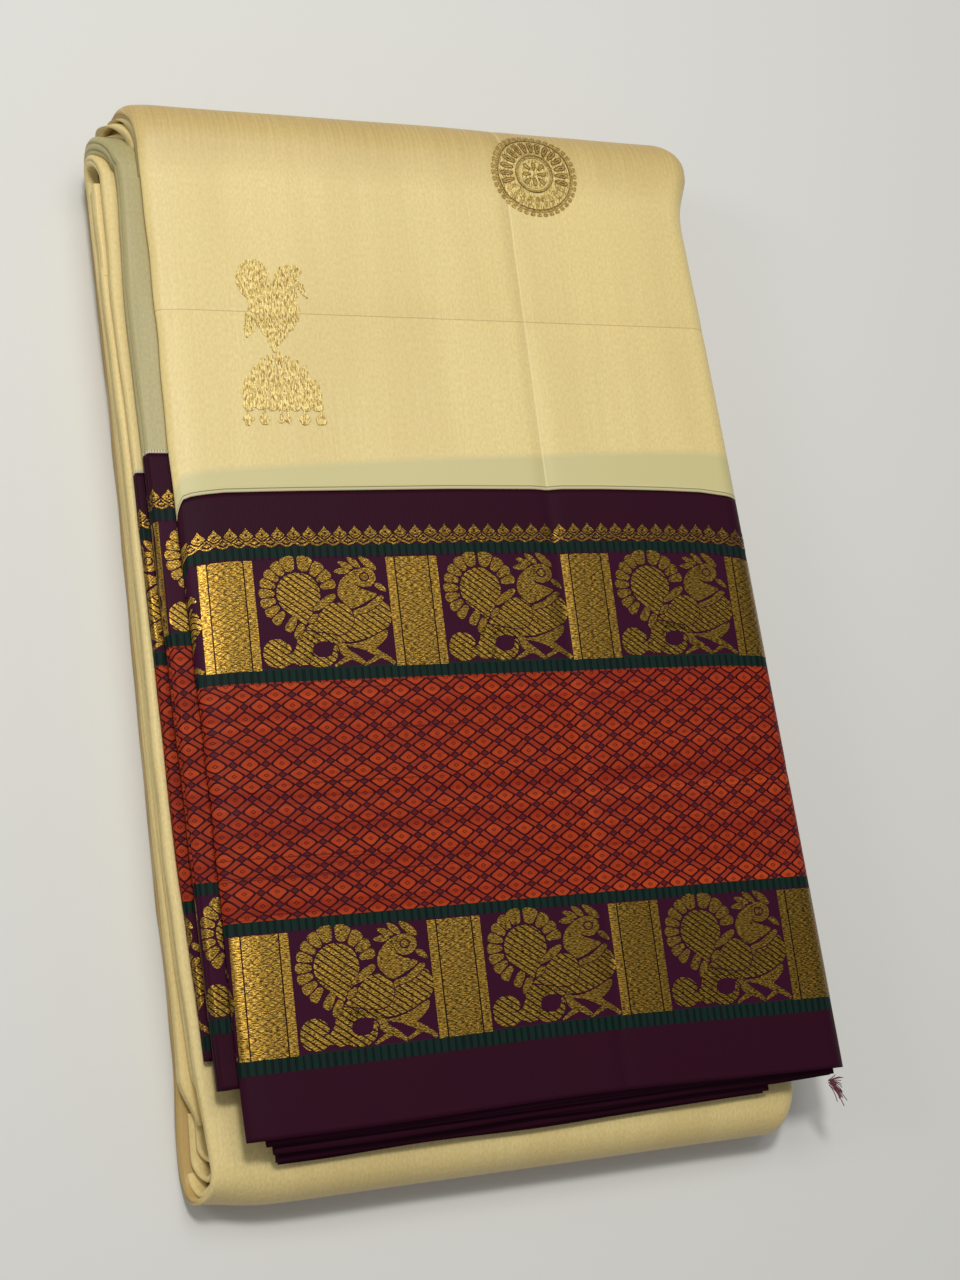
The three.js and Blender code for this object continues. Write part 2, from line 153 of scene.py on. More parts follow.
def turnRun(y, z, radius, side, startOutZ, table, left, right=None):
    angle = np.arange(0, 181, 3.0)
    outY = np.sin(np.radians(angle)) * side
    outZ = np.cos(np.radians(angle)) * startOutZ
    covered = np.full(len(angle), float(curveAt(edgeTable, "first", y)) + packet["sideFoldDepth"])
    return {
        "y": y + outY * radius, "z": z + outZ * radius, "outY": outY, "outZ": outZ,
        "left": curveAt(table, left, angle), "right": curveAt(table, right, angle) if right else covered,
    }


def joinRuns(runs, start, left, rightHeight=0.0, relief=None, drift=None, shift=(0, 0), wobble=1, grooves=()):
    # left is the height of the rolled left edge and how far its rounding reaches in;
    # grooves are depths where thin lines run between the layers of that edge
    path = {name: np.concatenate([run[name] for run in runs]) for name in runs[0]}
    steps = np.hypot(np.diff(path["y"]), np.diff(path["z"]))
    path["v"] = start + np.concatenate([[0.0], np.cumsum(steps)])
    path["left"] = path["left"] + 0.22 * softWaves(path["v"], 0 * path["v"], wobble, 34)
    path.update(half=left[0] / 2, reach=left[1], bend=math.hypot(left[0] / 2, left[1]) / math.sqrt(2))
    path.update(rightHeight=rightHeight, relief=relief, drift=drift, shift=shift)
    path.update(grooves=[(at, wobble * 10 + i) for i, at in enumerate(grooves)])
    return path


def foldPoint(path, u, v, lift=0.0):
    # where a point of the cloth lies: u across the packet, v along the sheet, lift out of the cloth
    u, v = np.broadcast_arrays(np.asarray(u, float), np.asarray(v, float))
    along = path["drift"](u, v) if path["drift"] else v
    y, z, outY, outZ, left, right = (
        np.interp(along, path["v"], path[name]) for name in ("y", "z", "outY", "outZ", "left", "right"))
    half, reach, bend = path["half"], path["reach"], path["bend"]
    past = left + reach - u
    turned = np.clip(past / bend, 0, math.pi)
    over = np.maximum(past - math.pi * bend, 0)
    x = np.where(past > 0, left + reach - np.sin(turned) * (reach + lift) + over, u)
    depth = np.where(past > 0, half - np.cos(turned) * (half + lift), -lift)
    fade = 1 - turned / math.pi
    for at, seed in path["grooves"]:
        off = (1 - np.cos(turned)) * half - at - 0.4 * softWaves(v, 0 * v, seed, 60)
        x = x + np.where(past > 0, trough(off, 0.33), 0.0)
    if path["rightHeight"]:
        radius = path["rightHeight"] / 2
        past = u - (right - radius)
        turned = np.clip(past / radius, 0, math.pi)
        over = np.maximum(past - math.pi * radius, 0)
        x = np.where(past > 0, right - radius + np.sin(turned) * (radius + lift) - over, x)
        depth = np.where(past > 0, radius - np.cos(turned) * (radius + lift), depth)
        fade = fade * (1 - turned / math.pi)
    if path["relief"]:
        depth = depth - path["relief"](u, v, left, right) * fade
    return np.stack([x - centre["x"], y - outY * depth - centre["y"], z - outZ * depth], -1) * mm


def clothSpan(path, v):
    # first and last u of the cloth at v, leaves under the rolls included
    left, right = np.interp(v, path["v"], path["left"]), np.interp(v, path["v"], path["right"])
    first = left + path["reach"] - math.pi * path["bend"] - (packet["leftLeaf"] - path["reach"])
    last = right
    if path["rightHeight"]:
        radius = path["rightHeight"] / 2
        last = right - radius + math.pi * radius + (packet["rightLeaf"] - radius)
    return first, last


def mapPiece(piece, path, u, v):
    # the place on the woven cloth, in metres, as the piece's own UV map
    layer = piece.data.uv_layers.active or piece.data.uv_layers.new(name="cloth")
    layer.name = "cloth"
    corners = np.empty(len(piece.data.loops), int)
    piece.data.loops.foreach_get("vertex_index", corners)
    place = np.stack([(u - path["shift"][0])[corners] * mm, (v - path["shift"][1])[corners] * mm], -1)
    layer.data.foreach_set("uv", place.ravel())
    piece.data.update()


def addObject(name, data):
    made = bpy.data.objects.new(name, data)
    bpy.context.scene.collection.objects.link(made)
    return made


def choose(pieces):
    # selects these pieces alone, with the first as the active one
    bpy.ops.object.select_all(action="DESELECT")
    for piece in pieces:
        piece.select_set(True)
    bpy.context.view_layer.objects.active = pieces[0]


def giveWall(piece, wall):
    choose([piece])
    solid = piece.modifiers.new("wall", "SOLIDIFY")
    solid.thickness = wall * mm
    solid.offset = -1
    bpy.ops.object.modifier_apply(modifier="wall")
    piece.data.shade_smooth()


def layCloth(name, path, rows, columns, start=None, end=None, wall=0.5, rollShare=None, rowShare=None):
    # a grid laid along the whole path, or from start to end, and given a thin wall
    start = path["v"][0] if start is None else start
    end = path["v"][-1] if end is None else end
    bpy.ops.object.select_all(action="DESELECT")
    bpy.ops.mesh.primitive_grid_add(x_subdivisions=columns, y_subdivisions=rows, size=1)
    piece = bpy.context.active_object
    piece.name = piece.data.name = name
    flat = np.empty(len(piece.data.vertices) * 3)
    piece.data.vertices.foreach_get("co", flat)
    flat = flat.reshape(-1, 3)
    across, along = flat[:, 0] + 0.5, flat[:, 1] + 0.5
    if rollShare:  # closer columns where the cloth rolls over
        across = np.interp(across, *rollShare)
    if rowShare:
        along = np.interp(along, *rowShare)
    v = start * (1 - along) + end * along
    first, last = clothSpan(path, v)
    u = first + (last - first) * across
    piece.data.vertices.foreach_set("co", foldPoint(path, u, v).ravel())
    mapPiece(piece, path, u, v)
    giveWall(piece, wall)
    return piece


def joinPieces(name, pieces):
    choose(pieces)
    bpy.ops.object.join()
    pieces[0].name = pieces[0].data.name = name
    return pieces[0]


# Top sheet: the border and the body above it, over the top fold
topSheet = {
    "left": (4.6, 4.0), "rightHeight": 17.6,
    "dip": 1.5, "dipWidth": 13.0,      # how the panel falls away beside its left edge
    "waves": 0.16,
    "crown": 2.1,                      # the top fold stands a little fuller at the left
    "seamLip": 0.28,                   # the joined seam stands a little proud of the border
    "selvedgeRise": 1.9,               # the selvedge bows up in its middle
    # how far the seam bows down, across the panel
    "bowAt": (-129, -126, -124, -122, -119, -113, -106, -90, -76, -45, -14, 22, 28, 34, 52, 80, 98, 114, 122),
    "bow": (15.0, 13.0, 8.5, 4.2, 3.1, 2.3, 1.6, 1.2, 0.9, 0.4, 0.0, 0.0, 0.35, 0.0, 0.0, 0.5, 1.2, 3.4, 4.2),
}


def topDrift(u, v):
    # the seam and the border lines near it bow towards the selvedge at both sides
    weight = ease(-70, 25, v) * (1 - ease(packet["seam"], 100, v))
    rise = topSheet["selvedgeRise"] * trough(u - 20, 70) * (1 - ease(-175, -105, v))
    return v - np.interp(u, topSheet["bowAt"], topSheet["bow"]) * weight + rise


def topRelief(u, v, left, right):
    offs = (u - crease["x"], v - crease["upperY"], v - crease["lowerY"])
    wide = np.maximum.reduce([trough(off, 4) for off in offs])
    lines = zip(offs, (1.4, 1.0, 1.0), (1.2, 1.1, 1.1))
    thin = np.maximum.reduce([depth * trough(off, width) for off, depth, width in lines])
    dip = topSheet["dip"] * np.clip(1 - (u - left) / topSheet["dipWidth"], 0, 1) ** 2
    waves = topSheet["waves"] * softWaves(u, v, 4, 70, 1.6)
    calm = 0.25 + 0.75 * (1 - ease(150, 200, v))
    past = v - packet["seam"]
    lip = np.where(past > 0, topSheet["seamLip"] * trough(past - 1.0, 1.1), -0.1 * np.exp(past / 2))
    crown = topSheet["crown"] * trough(v - 205, 17) * (1 - 0.5 * ease(-10, 90, u))
    return -(crease["depth"] * wide + 0.2 * thin) * calm - dip + waves + lip + crown


topPath = joinRuns([
    straightRun(packet["selvedgeY"], packet["topFoldY"], packet["topZ"], 1, "first", "rightTop"),
    turnRun(packet["topFoldY"], packet["topZ"] / 2, packet["topZ"] / 2, 1, 1, topTurnTable, "first",
            "rightTop"),
], packet["selvedgeY"], topSheet["left"], topSheet["rightHeight"], topRelief, topDrift,
    wobble=3, grooves=(2.9,))
topRollShare = ((0, 0.13, 0.84, 1), (0, 0.048, 0.87, 1))

topBorder = layCloth("topBorder", topPath, 150, 165, end=packet["seam"] - halfGap, rollShare=topRollShare)
topBody = layCloth("topBody", topPath, 150, 165, start=packet["seam"] + halfGap,
                   rollShare=topRollShare, rowShare=((0, 0.06, 1), (0, 0.02, 1)))

# Outer layer under the packet, round the cream fold and over the middle slab
lowSheet = {
    "left": (5.2, 1.5), "rightHeight": 13.8, "waves": 0.35,
    "pinch": 3.4,                      # how far the fold is pinched in at its left end
    "halfHeight": packet["middleTopZ"] / 2,
}


def lowRelief(u, v, left, right):
    pinch = lowSheet["pinch"] * trough(u - left, 15) * trough(v - 420, 13)
    return lowSheet["waves"] * softWaves(u, v, 9, 60, 1.4) * ease(400, 470, v) - pinch


lowPath = joinRuns([
    straightRun(packet["topFoldY"] - packet["seamGap"], packet["lowFoldY"], 0, -1, "bottom", "rightLow"),
    turnRun(packet["lowFoldY"], lowSheet["halfHeight"], lowSheet["halfHeight"], -1, -1, lowTurnTable,
            "bottom", "rightLow"),
    straightRun(packet["lowFoldY"] + 0.5, 140, packet["middleTopZ"], 1, "middle", "rightLow"),
], 0, lowSheet["left"], lowSheet["rightHeight"], lowRelief, wobble=5, grooves=(2.6,))
lowerWrap = layCloth("lowerWrap", lowPath, 300, 120, rollShare=((0, 0.15, 0.86, 1), (0, 0.045, 0.88, 1)))

# The two folds that show beside the top panel; shift says which part of the woven cloth they show,
# and under how far they run back below their turn
sideFolds = {
    "second": {
        "top": 41.1, "left": (8.1, 2.2), "grooves": (2.4, 5.2), "turnY": 179.0, "turnZ": 23.4,
        "seam": 57.0, "endY": -181.0, "shift": (41.1, 16.0), "under": 14.0, "wobble": 7, "columns": 60,
    },
    "third": {
        "top": 32.7, "left": (4.4, 1.3), "grooves": (2.1,), "turnY": 180.0, "turnZ": 23.0,
        "seam": 52.0, "endY": -170.0, "shift": (-6.0, 11.0), "under": 46.0, "wobble": 8, "columns": 50,
    },
}
sideRollShare = ((0, 0.08, 0.72, 1), (0, 0.15, 0.5, 1))


def sideRelief(u, v, left, right):
    return 0.25 * softWaves(u, v, 12, 40, 2.2)


def sidePath(edge, fold):
    radius = fold["top"] - fold["turnZ"]
    over = straightRun(fold["endY"], fold["turnY"], fold["top"], 1, edge)
    turn = turnRun(fold["turnY"], fold["turnZ"], radius, 1, 1, topTurnTable, edge)
    under = straightRun(fold["turnY"] - 0.5, fold["turnY"] - fold["under"], fold["turnZ"] - radius, -1, edge)
    under["left"] = np.linspace(turn["left"][-1], turn["left"][-1] + 1.6, len(under["y"]))
    return joinRuns([over, turn, under], fold["endY"], fold["left"], 0, sideRelief,
                    shift=fold["shift"], wobble=fold["wobble"], grooves=fold["grooves"])


sidePaths, foldBorders, foldBodies = {}, {}, {}
for name, fold in sideFolds.items():
    path = sidePath(name, fold)
    sidePaths[name] = path
    foldBorders[name] = layCloth(name + "FoldBorder", path, 150, fold["columns"],
                                 end=fold["seam"] - halfGap, rollShare=sideRollShare)
    foldBodies[name] = layCloth(name + "FoldBody", path, 110, fold["columns"],
                                start=fold["seam"] + halfGap, rollShare=sideRollShare)

# Hidden layers: the rolled edges that show at the left of the two lower slabs
layerRolls = (
    {"edge": "bottom", "low": 5.5, "high": 9.7, "reach": 0.0},
    {"edge": "bottom", "low": 9.8, "high": 13.9, "reach": -0.4},
    {"edge": "middle", "low": 14.1, "high": 18.3, "reach": 0.6},
    {"edge": "middle", "low": 18.4, "high": 22.6, "reach": 0.9},
    {"edge": "middle", "low": 22.7, "high": 27.9, "reach": 0.5, "from": 136.0},
)
layers = []
for i, roll in enumerate(layerRolls):
    run = straightRun(roll.get("from", -192), 176, roll["high"], 1, roll["edge"])
    drawnIn = 6.5 * (1 - ease(-193, -174, run["y"]))  # the rolls give way to the mouth of the cream fold
    run["left"] = run["left"] + roll["reach"] + drawnIn
    run["right"] = run["left"] + 22
    path = joinRuns([run], 0, (roll["high"] - roll["low"], 1.1), 0, sideRelief, wobble=20 + i, grooves=(2.0,))
    layers.append(layCloth(f"roll{i}", path, 110, 40, rollShare=((0, 0.08, 0.78, 1), (0, 0.15, 0.42, 1))))


def nestedPath(layer, side, leftHeight, length, width, wobble):
    # a thin layer that turns round inside a fold; its edges are its left edge before, in and after the turn
    angle = np.radians(np.arange(0, 181, 6.0))
    outY, outZ = np.sin(angle) * side, np.cos(angle) * side
    run = np.linspace(length, 2, 8)
    even = np.ones(len(run))
    before, bulge, after = layer["edges"]
    share = np.linspace(0, 1, len(angle))
    middle = before + (bulge - before) * ease(0, 0.5, share) + (after - bulge) * ease(0.5, 1, share)
    ys, zs = layer["y"] + outY * layer["reach"], layer["z"] + outZ * layer["reach"]
    path = {
        "y": np.concatenate([layer["y"] - side * run, ys, layer["y"] - side * run[::-1]]),
        "z": np.concatenate([zs[0] * even, zs, zs[-1] * even]),
        "outY": np.concatenate([0 * even, outY, 0 * even]),
        "outZ": np.concatenate([outZ[0] * even, outZ, outZ[-1] * even]),
        "left": np.concatenate([before * even, middle, after * even]),
    }
    path["right"] = path["left"] + width
    return joinRuns([path], 0, (leftHeight, 0.6), wobble=wobble)


# Layers inside the mouth of the cream fold, from the outside in; the first shows best and is its own piece
mouthLayers = (
    {"y": -206.2, "z": 14.0, "reach": 11.2, "height": 2.2, "edges": (-133.4, -131.2, -127.0)},
    {"y": -203.0, "z": 14.0, "reach": 9.0, "height": 2.0, "edges": (-131.6, -128.6, -125.4)},
    {"y": -199.0, "z": 14.0, "reach": 6.6, "height": 1.8, "edges": (-129.6, -126.4, -124.2)},
)
mouths = []
for i, layer in enumerate(mouthLayers):
    path = nestedPath(layer, -1, layer["height"], 16, 12, 50 + i)
    mouths.append(layCloth(f"mouth{i}" if i else "lowerInnerLayer", path, 80, 14))
lowerInnerLayer, *hiddenMouths = mouths
layers += hiddenMouths

# Layers nested inside the folds at the top end
topCurls = (
    {"y": 187.4, "z": 23.0, "reach": 21.6, "edges": (-127.0, -132.6, -129.6), "width": 236},
    {"y": 187.0, "z": 23.0, "reach": 19.4, "edges": (-128.2, -134.8, -131.4), "width": 236},
    {"y": 186.6, "z": 23.0, "reach": 16.9, "edges": (-130.6, -139.2, -135.6), "width": 236},
    {"y": 185.8, "z": 23.0, "reach": 13.8, "edges": (-129.4, -137.2, -134.0), "width": 234},
    {"y": 184.8, "z": 23.0, "reach": 9.0, "edges": (-128.0, -134.6, -131.0), "width": 228},
    {"y": 178.8, "z": 23.4, "reach": 15.5, "edges": (-130.6, -143.0, -141.6), "width": 18},
    {"y": 178.8, "z": 23.4, "reach": 13.3, "edges": (-130.2, -142.6, -141.4), "width": 18},
)
for i, curl in enumerate(topCurls):
    wide = curl["width"] > 100
    path = nestedPath(curl, 1, 1.9, 14 if wide else 4, curl["width"], 60 + i)
    layers.append(layCloth(f"curl{i}", path, 60, 40 if wide else 16))

# The slab's right side beside the top fold
run = straightRun(139, 187, packet["middleTopZ"] + 0.2, 1, "first", "rightLow")
run["left"] = run["left"] + 20
path = joinRuns([run], 0, (1.9, 0.6), lowSheet["rightHeight"], wobble=80)
layers.append(layCloth("rightEnd", path, 16, 90, rollShare=((0, 0.5, 1), (0, 0.86, 1))))
innerLayers = joinPieces("innerLayers", layers)

# Border ends that show in steps below the top panel's selvedge
selvedgeSteps = (
    {"z": 43.1, "left": -112.6, "right": 118.0, "endY": -201.4},
    {"z": 41.2, "left": -112.0, "right": 117.0, "endY": -202.2},
    {"z": 38.8, "left": -109.4, "right": 121.5, "endY": -204.9},
    {"z": 36.8, "left": -108.8, "right": 120.6, "endY": -205.5},
    {"z": 34.3, "left": -107.0, "right": 94.0, "endY": -207.9},
    {"z": 32.2, "left": -106.0, "right": 92.0, "endY": -208.7},
)
steps = []
for i, layer in enumerate(selvedgeSteps):
    y = np.linspace(layer["endY"], -165, 30)
    run = {
        "y": y, "z": np.full(30, layer["z"]), "outY": np.zeros(30), "outZ": np.ones(30),
        "left": np.full(30, layer["left"]), "right": np.full(30, layer["right"]),
    }
    bend = lambda u, v, left, right, seed=40 + i: 0.45 * softWaves(u, v, seed, 75)
    slope = lambda u, v, seed=70 + i: v + 0.013 * (u + 109) + 0.4 * softWaves(u, 0 * u, seed, 90)
    path = joinRuns([run], layer["endY"], (1.6, 0.6), 0, bend, slope, wobble=40 + i)
    steps.append(layCloth(f"step{i}", path, 24, 130, wall=1.2))
selvedgeLayers = joinPieces("selvedgeLayers", steps)

# Loose thread ends at the selvedge's right corner
tuft = {"start": (120.6, -205.2, 37.6), "threads": 26, "length": 7.0, "thickness": 0.36}


def makeTuft():
    draw = np.random.default_rng(17)
    threads = []
    for i in range(tuft["threads"]):
        fan = i / (tuft["threads"] - 1) - 0.5
        reach = tuft["length"] * draw.uniform(0.55, 1.0)
        start = np.array(tuft["start"]) + (draw.uniform(-1.5, 0), fan * 2.0, draw.uniform(-0.6, 0.6))
        middle = start + (reach * 0.5, -1.0 + fan * 4, draw.uniform(-0.3, 0.9))
        end = start + (reach, -3.6 + fan * 9 + draw.uniform(-1, 1), draw.uniform(-3.0, -1.0))
        curve = bpy.data.curves.new("thread", "CURVE")
        curve.dimensions = "3D"
        curve.bevel_depth = tuft["thickness"] / 2 * mm
        curve.bevel_resolution = 1
        line = curve.splines.new("NURBS")
        line.points.add(3)
        for point, place in zip(line.points, (start, start * 0.6 + middle * 0.4, middle, end)):
            point.co = ((place[0] - centre["x"]) * mm, (place[1] - centre["y"]) * mm, place[2] * mm, 1)
        line.use_endpoint_u = True
        choose([addObject("thread", curve)])
        bpy.ops.object.convert(target="MESH")
        threads.append(bpy.context.active_object)
    return joinPieces("threadTuft", threads)


threadTuft = makeTuft()

print("silk saree: cloth laid")


# Drawing tools for the woven figures, all in millimetres on the flat cloth

def curveBetween(a, b, c, d, t):
    # a smooth curve from b to c, led by a and d
    return 0.5 * (2 * b + (c - a) * t + (2 * a - 5 * b + 4 * c - d) * t**2 + (3 * b - a - 3 * c + d) * t**3)


def smoothLoop(points, steps=5):
    # closed curve through given points
    p = np.array(points, float)
    p = np.concatenate([p[-1:], p, p[:2]])
    t = np.linspace(0, 1, steps, endpoint=False)[:, None]
    return np.concatenate([curveBetween(*p[i:i + 4], t) for i in range(len(p) - 3)])


def ribbon(points, widths, steps=5):
    # a drawn line that swells and thins
    p = np.array(points, float)
    p = np.concatenate([[2 * p[0] - p[1]], p, [2 * p[-1] - p[-2]]])
    t = np.linspace(0, 1, steps, endpoint=False)[:, None]
    line = np.concatenate([curveBetween(*p[i:i + 4], t) for i in range(len(p) - 3)] + [p[-2:-1]])
    width = np.interp(np.linspace(0, 1, len(line)), np.linspace(0, 1, len(widths)), widths)[:, None]
    way = np.gradient(line, axis=0)
    way /= np.linalg.norm(way, axis=1)[:, None]
    side = np.stack([-way[:, 1], way[:, 0]], -1) * width / 2
    return np.concatenate([line + side, (line - side)[::-1]])


def atAngle(x, y, along, across, angle):
    c, s = math.cos(math.radians(angle)), math.sin(math.radians(angle))
    return np.stack([x + along * c - across * s, y + along * s + across * c], -1)


def disc(x, y, radius, count=26, squash=1.0):
    t = np.linspace(0, 2 * math.pi, count, endpoint=False)
    return np.stack([x + radius * np.cos(t), y + radius * squash * np.sin(t)], -1)


def petal(x, y, length, width, angle, root=0.3, point=0.0, full=0.7):
    # longer along its angle; root narrows its inner end, point sharpens both ends, full squares its sides
    t = np.linspace(0, 2 * math.pi, 20, endpoint=False)
    along = np.cos(t) * length / 2
    swell = np.sign(np.sin(t)) * np.abs(np.sin(t)) ** full
    across = swell * (1 - root * (1 - np.cos(t)) / 2) * (1 - point * np.cos(t) ** 2) * width / 2
    return atAngle(x, y, along, across, angle)


def fanPetal(x, y, inner, outer, angle, span, gap=0.55):
    # a petal between two rays of a circle, wider at its rounded outer end
    half = math.radians(span) / 2
    low, high = inner * half - gap / 2, (outer - 1.1) * half - gap / 2
    corners = [(inner + 0.3, -low * 0.55), (inner + 0.9, -low), (outer - 1.5, -high),
               (outer - 0.35, -high * 0.66)]
    corners += [(outer, 0)] + [(along, -across) for along, across in reversed(corners)] + [(inner, 0)]
    return smoothLoop(atAngle(x, y, *np.array(corners).T, angle), 3)


def teardrop(x, y, radius, tipX, tipY, count=26):
    way, reach = math.atan2(tipY - y, tipX - x), math.hypot(tipX - x, tipY - y)
    open_ = math.acos(radius / reach)
    t = np.linspace(way + open_, way - open_ + 2 * math.pi, count)
    return np.concatenate([np.stack([x + radius * np.cos(t), y + radius * np.sin(t)], -1), [[tipX, tipY]]])


def insideOf(outline, points):
    x, y = points[:, :1], points[:, 1:]
    x0, y0 = outline[:, 0][None], outline[:, 1][None]
    x1, y1 = np.roll(outline[:, 0], -1)[None], np.roll(outline[:, 1], -1)[None]
    spans = (y0 > y) != (y1 > y)
    cross = x < (x1 - x0) * (y - y0) / np.where(y1 == y0, 1e-9, y1 - y0) + x0
    return (spans & cross).sum(1) % 2 == 1


def fillShape(outline, spacing=1.5):
    # a filled outline with points inside, so that it can lie on folded cloth
    ends = np.roll(outline, -1, axis=0)
    rim = []
    for a, b in zip(outline, ends):
        count = max(1, int(math.ceil(np.linalg.norm(b - a) / spacing)))
        rim += [a + (b - a) * k / count for k in range(count)]
    rim = np.array(rim)
    low, high = rim.min(0), rim.max(0)
    xs = np.arange(low[0] + spacing / 2, high[0], spacing)
    ys = np.arange(low[1] + spacing / 2, high[1], spacing)
    grid = np.stack(np.meshgrid(xs, ys), -1).reshape(-1, 2)
    if len(grid):
        near = np.linalg.norm(grid[:, None] - rim[None], axis=2).min(1) < spacing * 0.45
        grid = grid[insideOf(rim, grid) & ~near]
    points = [Vector(p) for p in np.concatenate([rim, grid])]
    verts, _, faces, *_ = delaunay_2d_cdt(points, [], [list(range(len(rim)))], 1, 1e-5, False)
    verts = np.array([v[:] for v in verts])
    faces = np.array(faces)
    faces = faces[insideOf(rim, verts[faces].mean(1))]
    a, b, c = (verts[faces[:, i]] for i in range(3))
    flipped = (b[:, 0] - a[:, 0]) * (c[:, 1] - a[:, 1]) <= (b[:, 1] - a[:, 1]) * (c[:, 0] - a[:, 0])
    faces[flipped] = faces[flipped][:, [0, 2, 1]]
    return verts, faces


def drawFigure(shapes):
    # shapes are (outline, finish, layer); a higher layer lies over a lower one
    drawn = []
    for outline, finishName, layer in shapes:
        outline = np.asarray(outline, float)
        drawn.append((outline, *fillShape(outline), finishName, layer))
    return drawn


def layFigures(name, path, places, finishes, wall=0.06, lift=0.08):
    # figures at their places on the woven cloth, laid on one sheet as one piece
    verts, faces, kinds, lifts, total = [], [], [], [], 0
    order = list(finishes)
    for figure, du, dv in places:
        for outline, points, triangles, kind, layer in figure:
            start = np.array([du + path["shift"][0], dv + path["shift"][1]])
            at = points + start
            edge = np.interp(at[:, 1].mean(), path["v"], path["left"])
            if edge + 4 > at[:, 0].min() and at[:, 0].max() > path["left"].min() - 6:
                points, triangles = fillShape(outline, 0.5)  # closer points where the cloth rolls over
                at = points + start
            middle = at[triangles].mean(1)
            first, last = clothSpan(path, middle[:, 1])
            keep = (middle[:, 0] > first + 1.5) & (middle[:, 0] < last - 1.5)
            keep &= (middle[:, 1] > path["v"][0] + 0.4) & (middle[:, 1] < path["v"][-1] - 0.5)
            if not keep.any():
                continue
            verts.append(at)
            faces.append(triangles[keep] + total)
            kinds += [order.index(kind)] * int(keep.sum())
            lifts.append(np.full(len(at), lift + 0.035 * layer))
            total += len(at)
    verts, faces, lifts = np.concatenate(verts), np.concatenate(faces), np.concatenate(lifts)
    used, back = np.unique(faces, return_inverse=True)
    faces, verts, lifts = back.reshape(-1, 3), verts[used], lifts[used]
    mesh = bpy.data.meshes.new(name)
    mesh.from_pydata(foldPoint(path, verts[:, 0], verts[:, 1], lifts).tolist(), [], faces.tolist())
    piece = addObject(name, mesh)
    for finishName in order:
        mesh.materials.append(finishes[finishName])
    mesh.polygons.foreach_set("material_index", kinds)
    mapPiece(piece, path, verts[:, 0], verts[:, 1])
    giveWall(piece, wall)
    bpy.ops.object.shade_smooth_by_angle(angle=0.6)
    return piece


# Colour and node helpers

def fromHex(value):
    channels = [int(value[i:i + 2], 16) / 255 for i in (0, 2, 4)]
    linear = [c / 12.92 if c <= 0.04045 else ((c + 0.055) / 1.055) ** 2.4 for c in channels]
    return (*linear, 1.0)


def addNode(tree, kind, *values, out=0, **settings):
    # values fill the sockets in order, or by key from one dictionary; a kind may end in its operation
    kind, _, operation = kind.partition(".")
    made = tree.nodes.new("ShaderNode" + kind)
    if operation:
        made.operation = operation
    for key, value in settings.items():
        setattr(made, key, value)
    given = values[0] if values and isinstance(values[0], dict) else dict(enumerate(values))
    for key, value in given.items():
        if isinstance(value, bpy.types.NodeSocket):
            tree.links.new(value, made.inputs[key])
        else:
            made.inputs[key].default_value = value
    return made.outputs[out] if len(made.outputs) else made


def newMaterial(name):
    material = bpy.data.materials.new(name)
    material.use_nodes = True
    material.node_tree.nodes.clear()
    return material, partial(addNode, material.node_tree)


def finishSilk(node, links):
    shader = node("BsdfPrincipled", links)
    node("OutputMaterial", {"Surface": shader})


def clothPlace(node):
    # u and v of the woven cloth in millimetres, and both as a vector
    place = node("VectorMath.MULTIPLY", node("UVMap", uv_map="cloth"), (1000, 1000, 1000))
    split = node("SeparateXYZ", place).node
    return split.outputs[0], split.outputs[1], place


def drawnOut(node, place, across, along, detail=2.0):
    # unevenness drawn out along the threads, in cycles per millimetre across the cloth and along it
    scaled = node("Mapping", {"Vector": place, "Scale": (across, along, 1)})
    return node("TexNoise", {"Vector": scaled, "Scale": 1.0, "Detail": detail})


def threadWaves(node, place, way, scale, distortion):
    # the real threads are a quarter of a millimetre apart; they are drawn three times as wide to show at all
    links = {"Vector": place, "Scale": scale, "Distortion": distortion, "Detail": 1.0}
    return node("TexWave", links, out=1, bands_direction=way)


def slantingLines(node, a, b):
    # two rows of slanting lines that cross in a diamond lattice, each from 0 on a line to 0.5 midway
    return [node("Math.PINGPONG", node("Math." + way, a, b), 0.5) for way in ("ADD", "SUBTRACT")]


def layTints(node, colour, colours, tints):
    # each tint is its share and the name of the colour that it lays over those before it
    for share, key in tints:
        colour = node("Mix", {0: share, 6: colour, 7: fromHex(colours[key])}, out=2, data_type="RGBA")
    return colour


# marks on the top panel and where painted shade browns it towards the top fold, in millimetres along the
# cloth
panelMarks = {
    "lip": 42.3, "line": 42.5, "greenFull": 53.2, "greenEnd": 56.5, "turn": 172.0, "turnFull": 204.0,
}


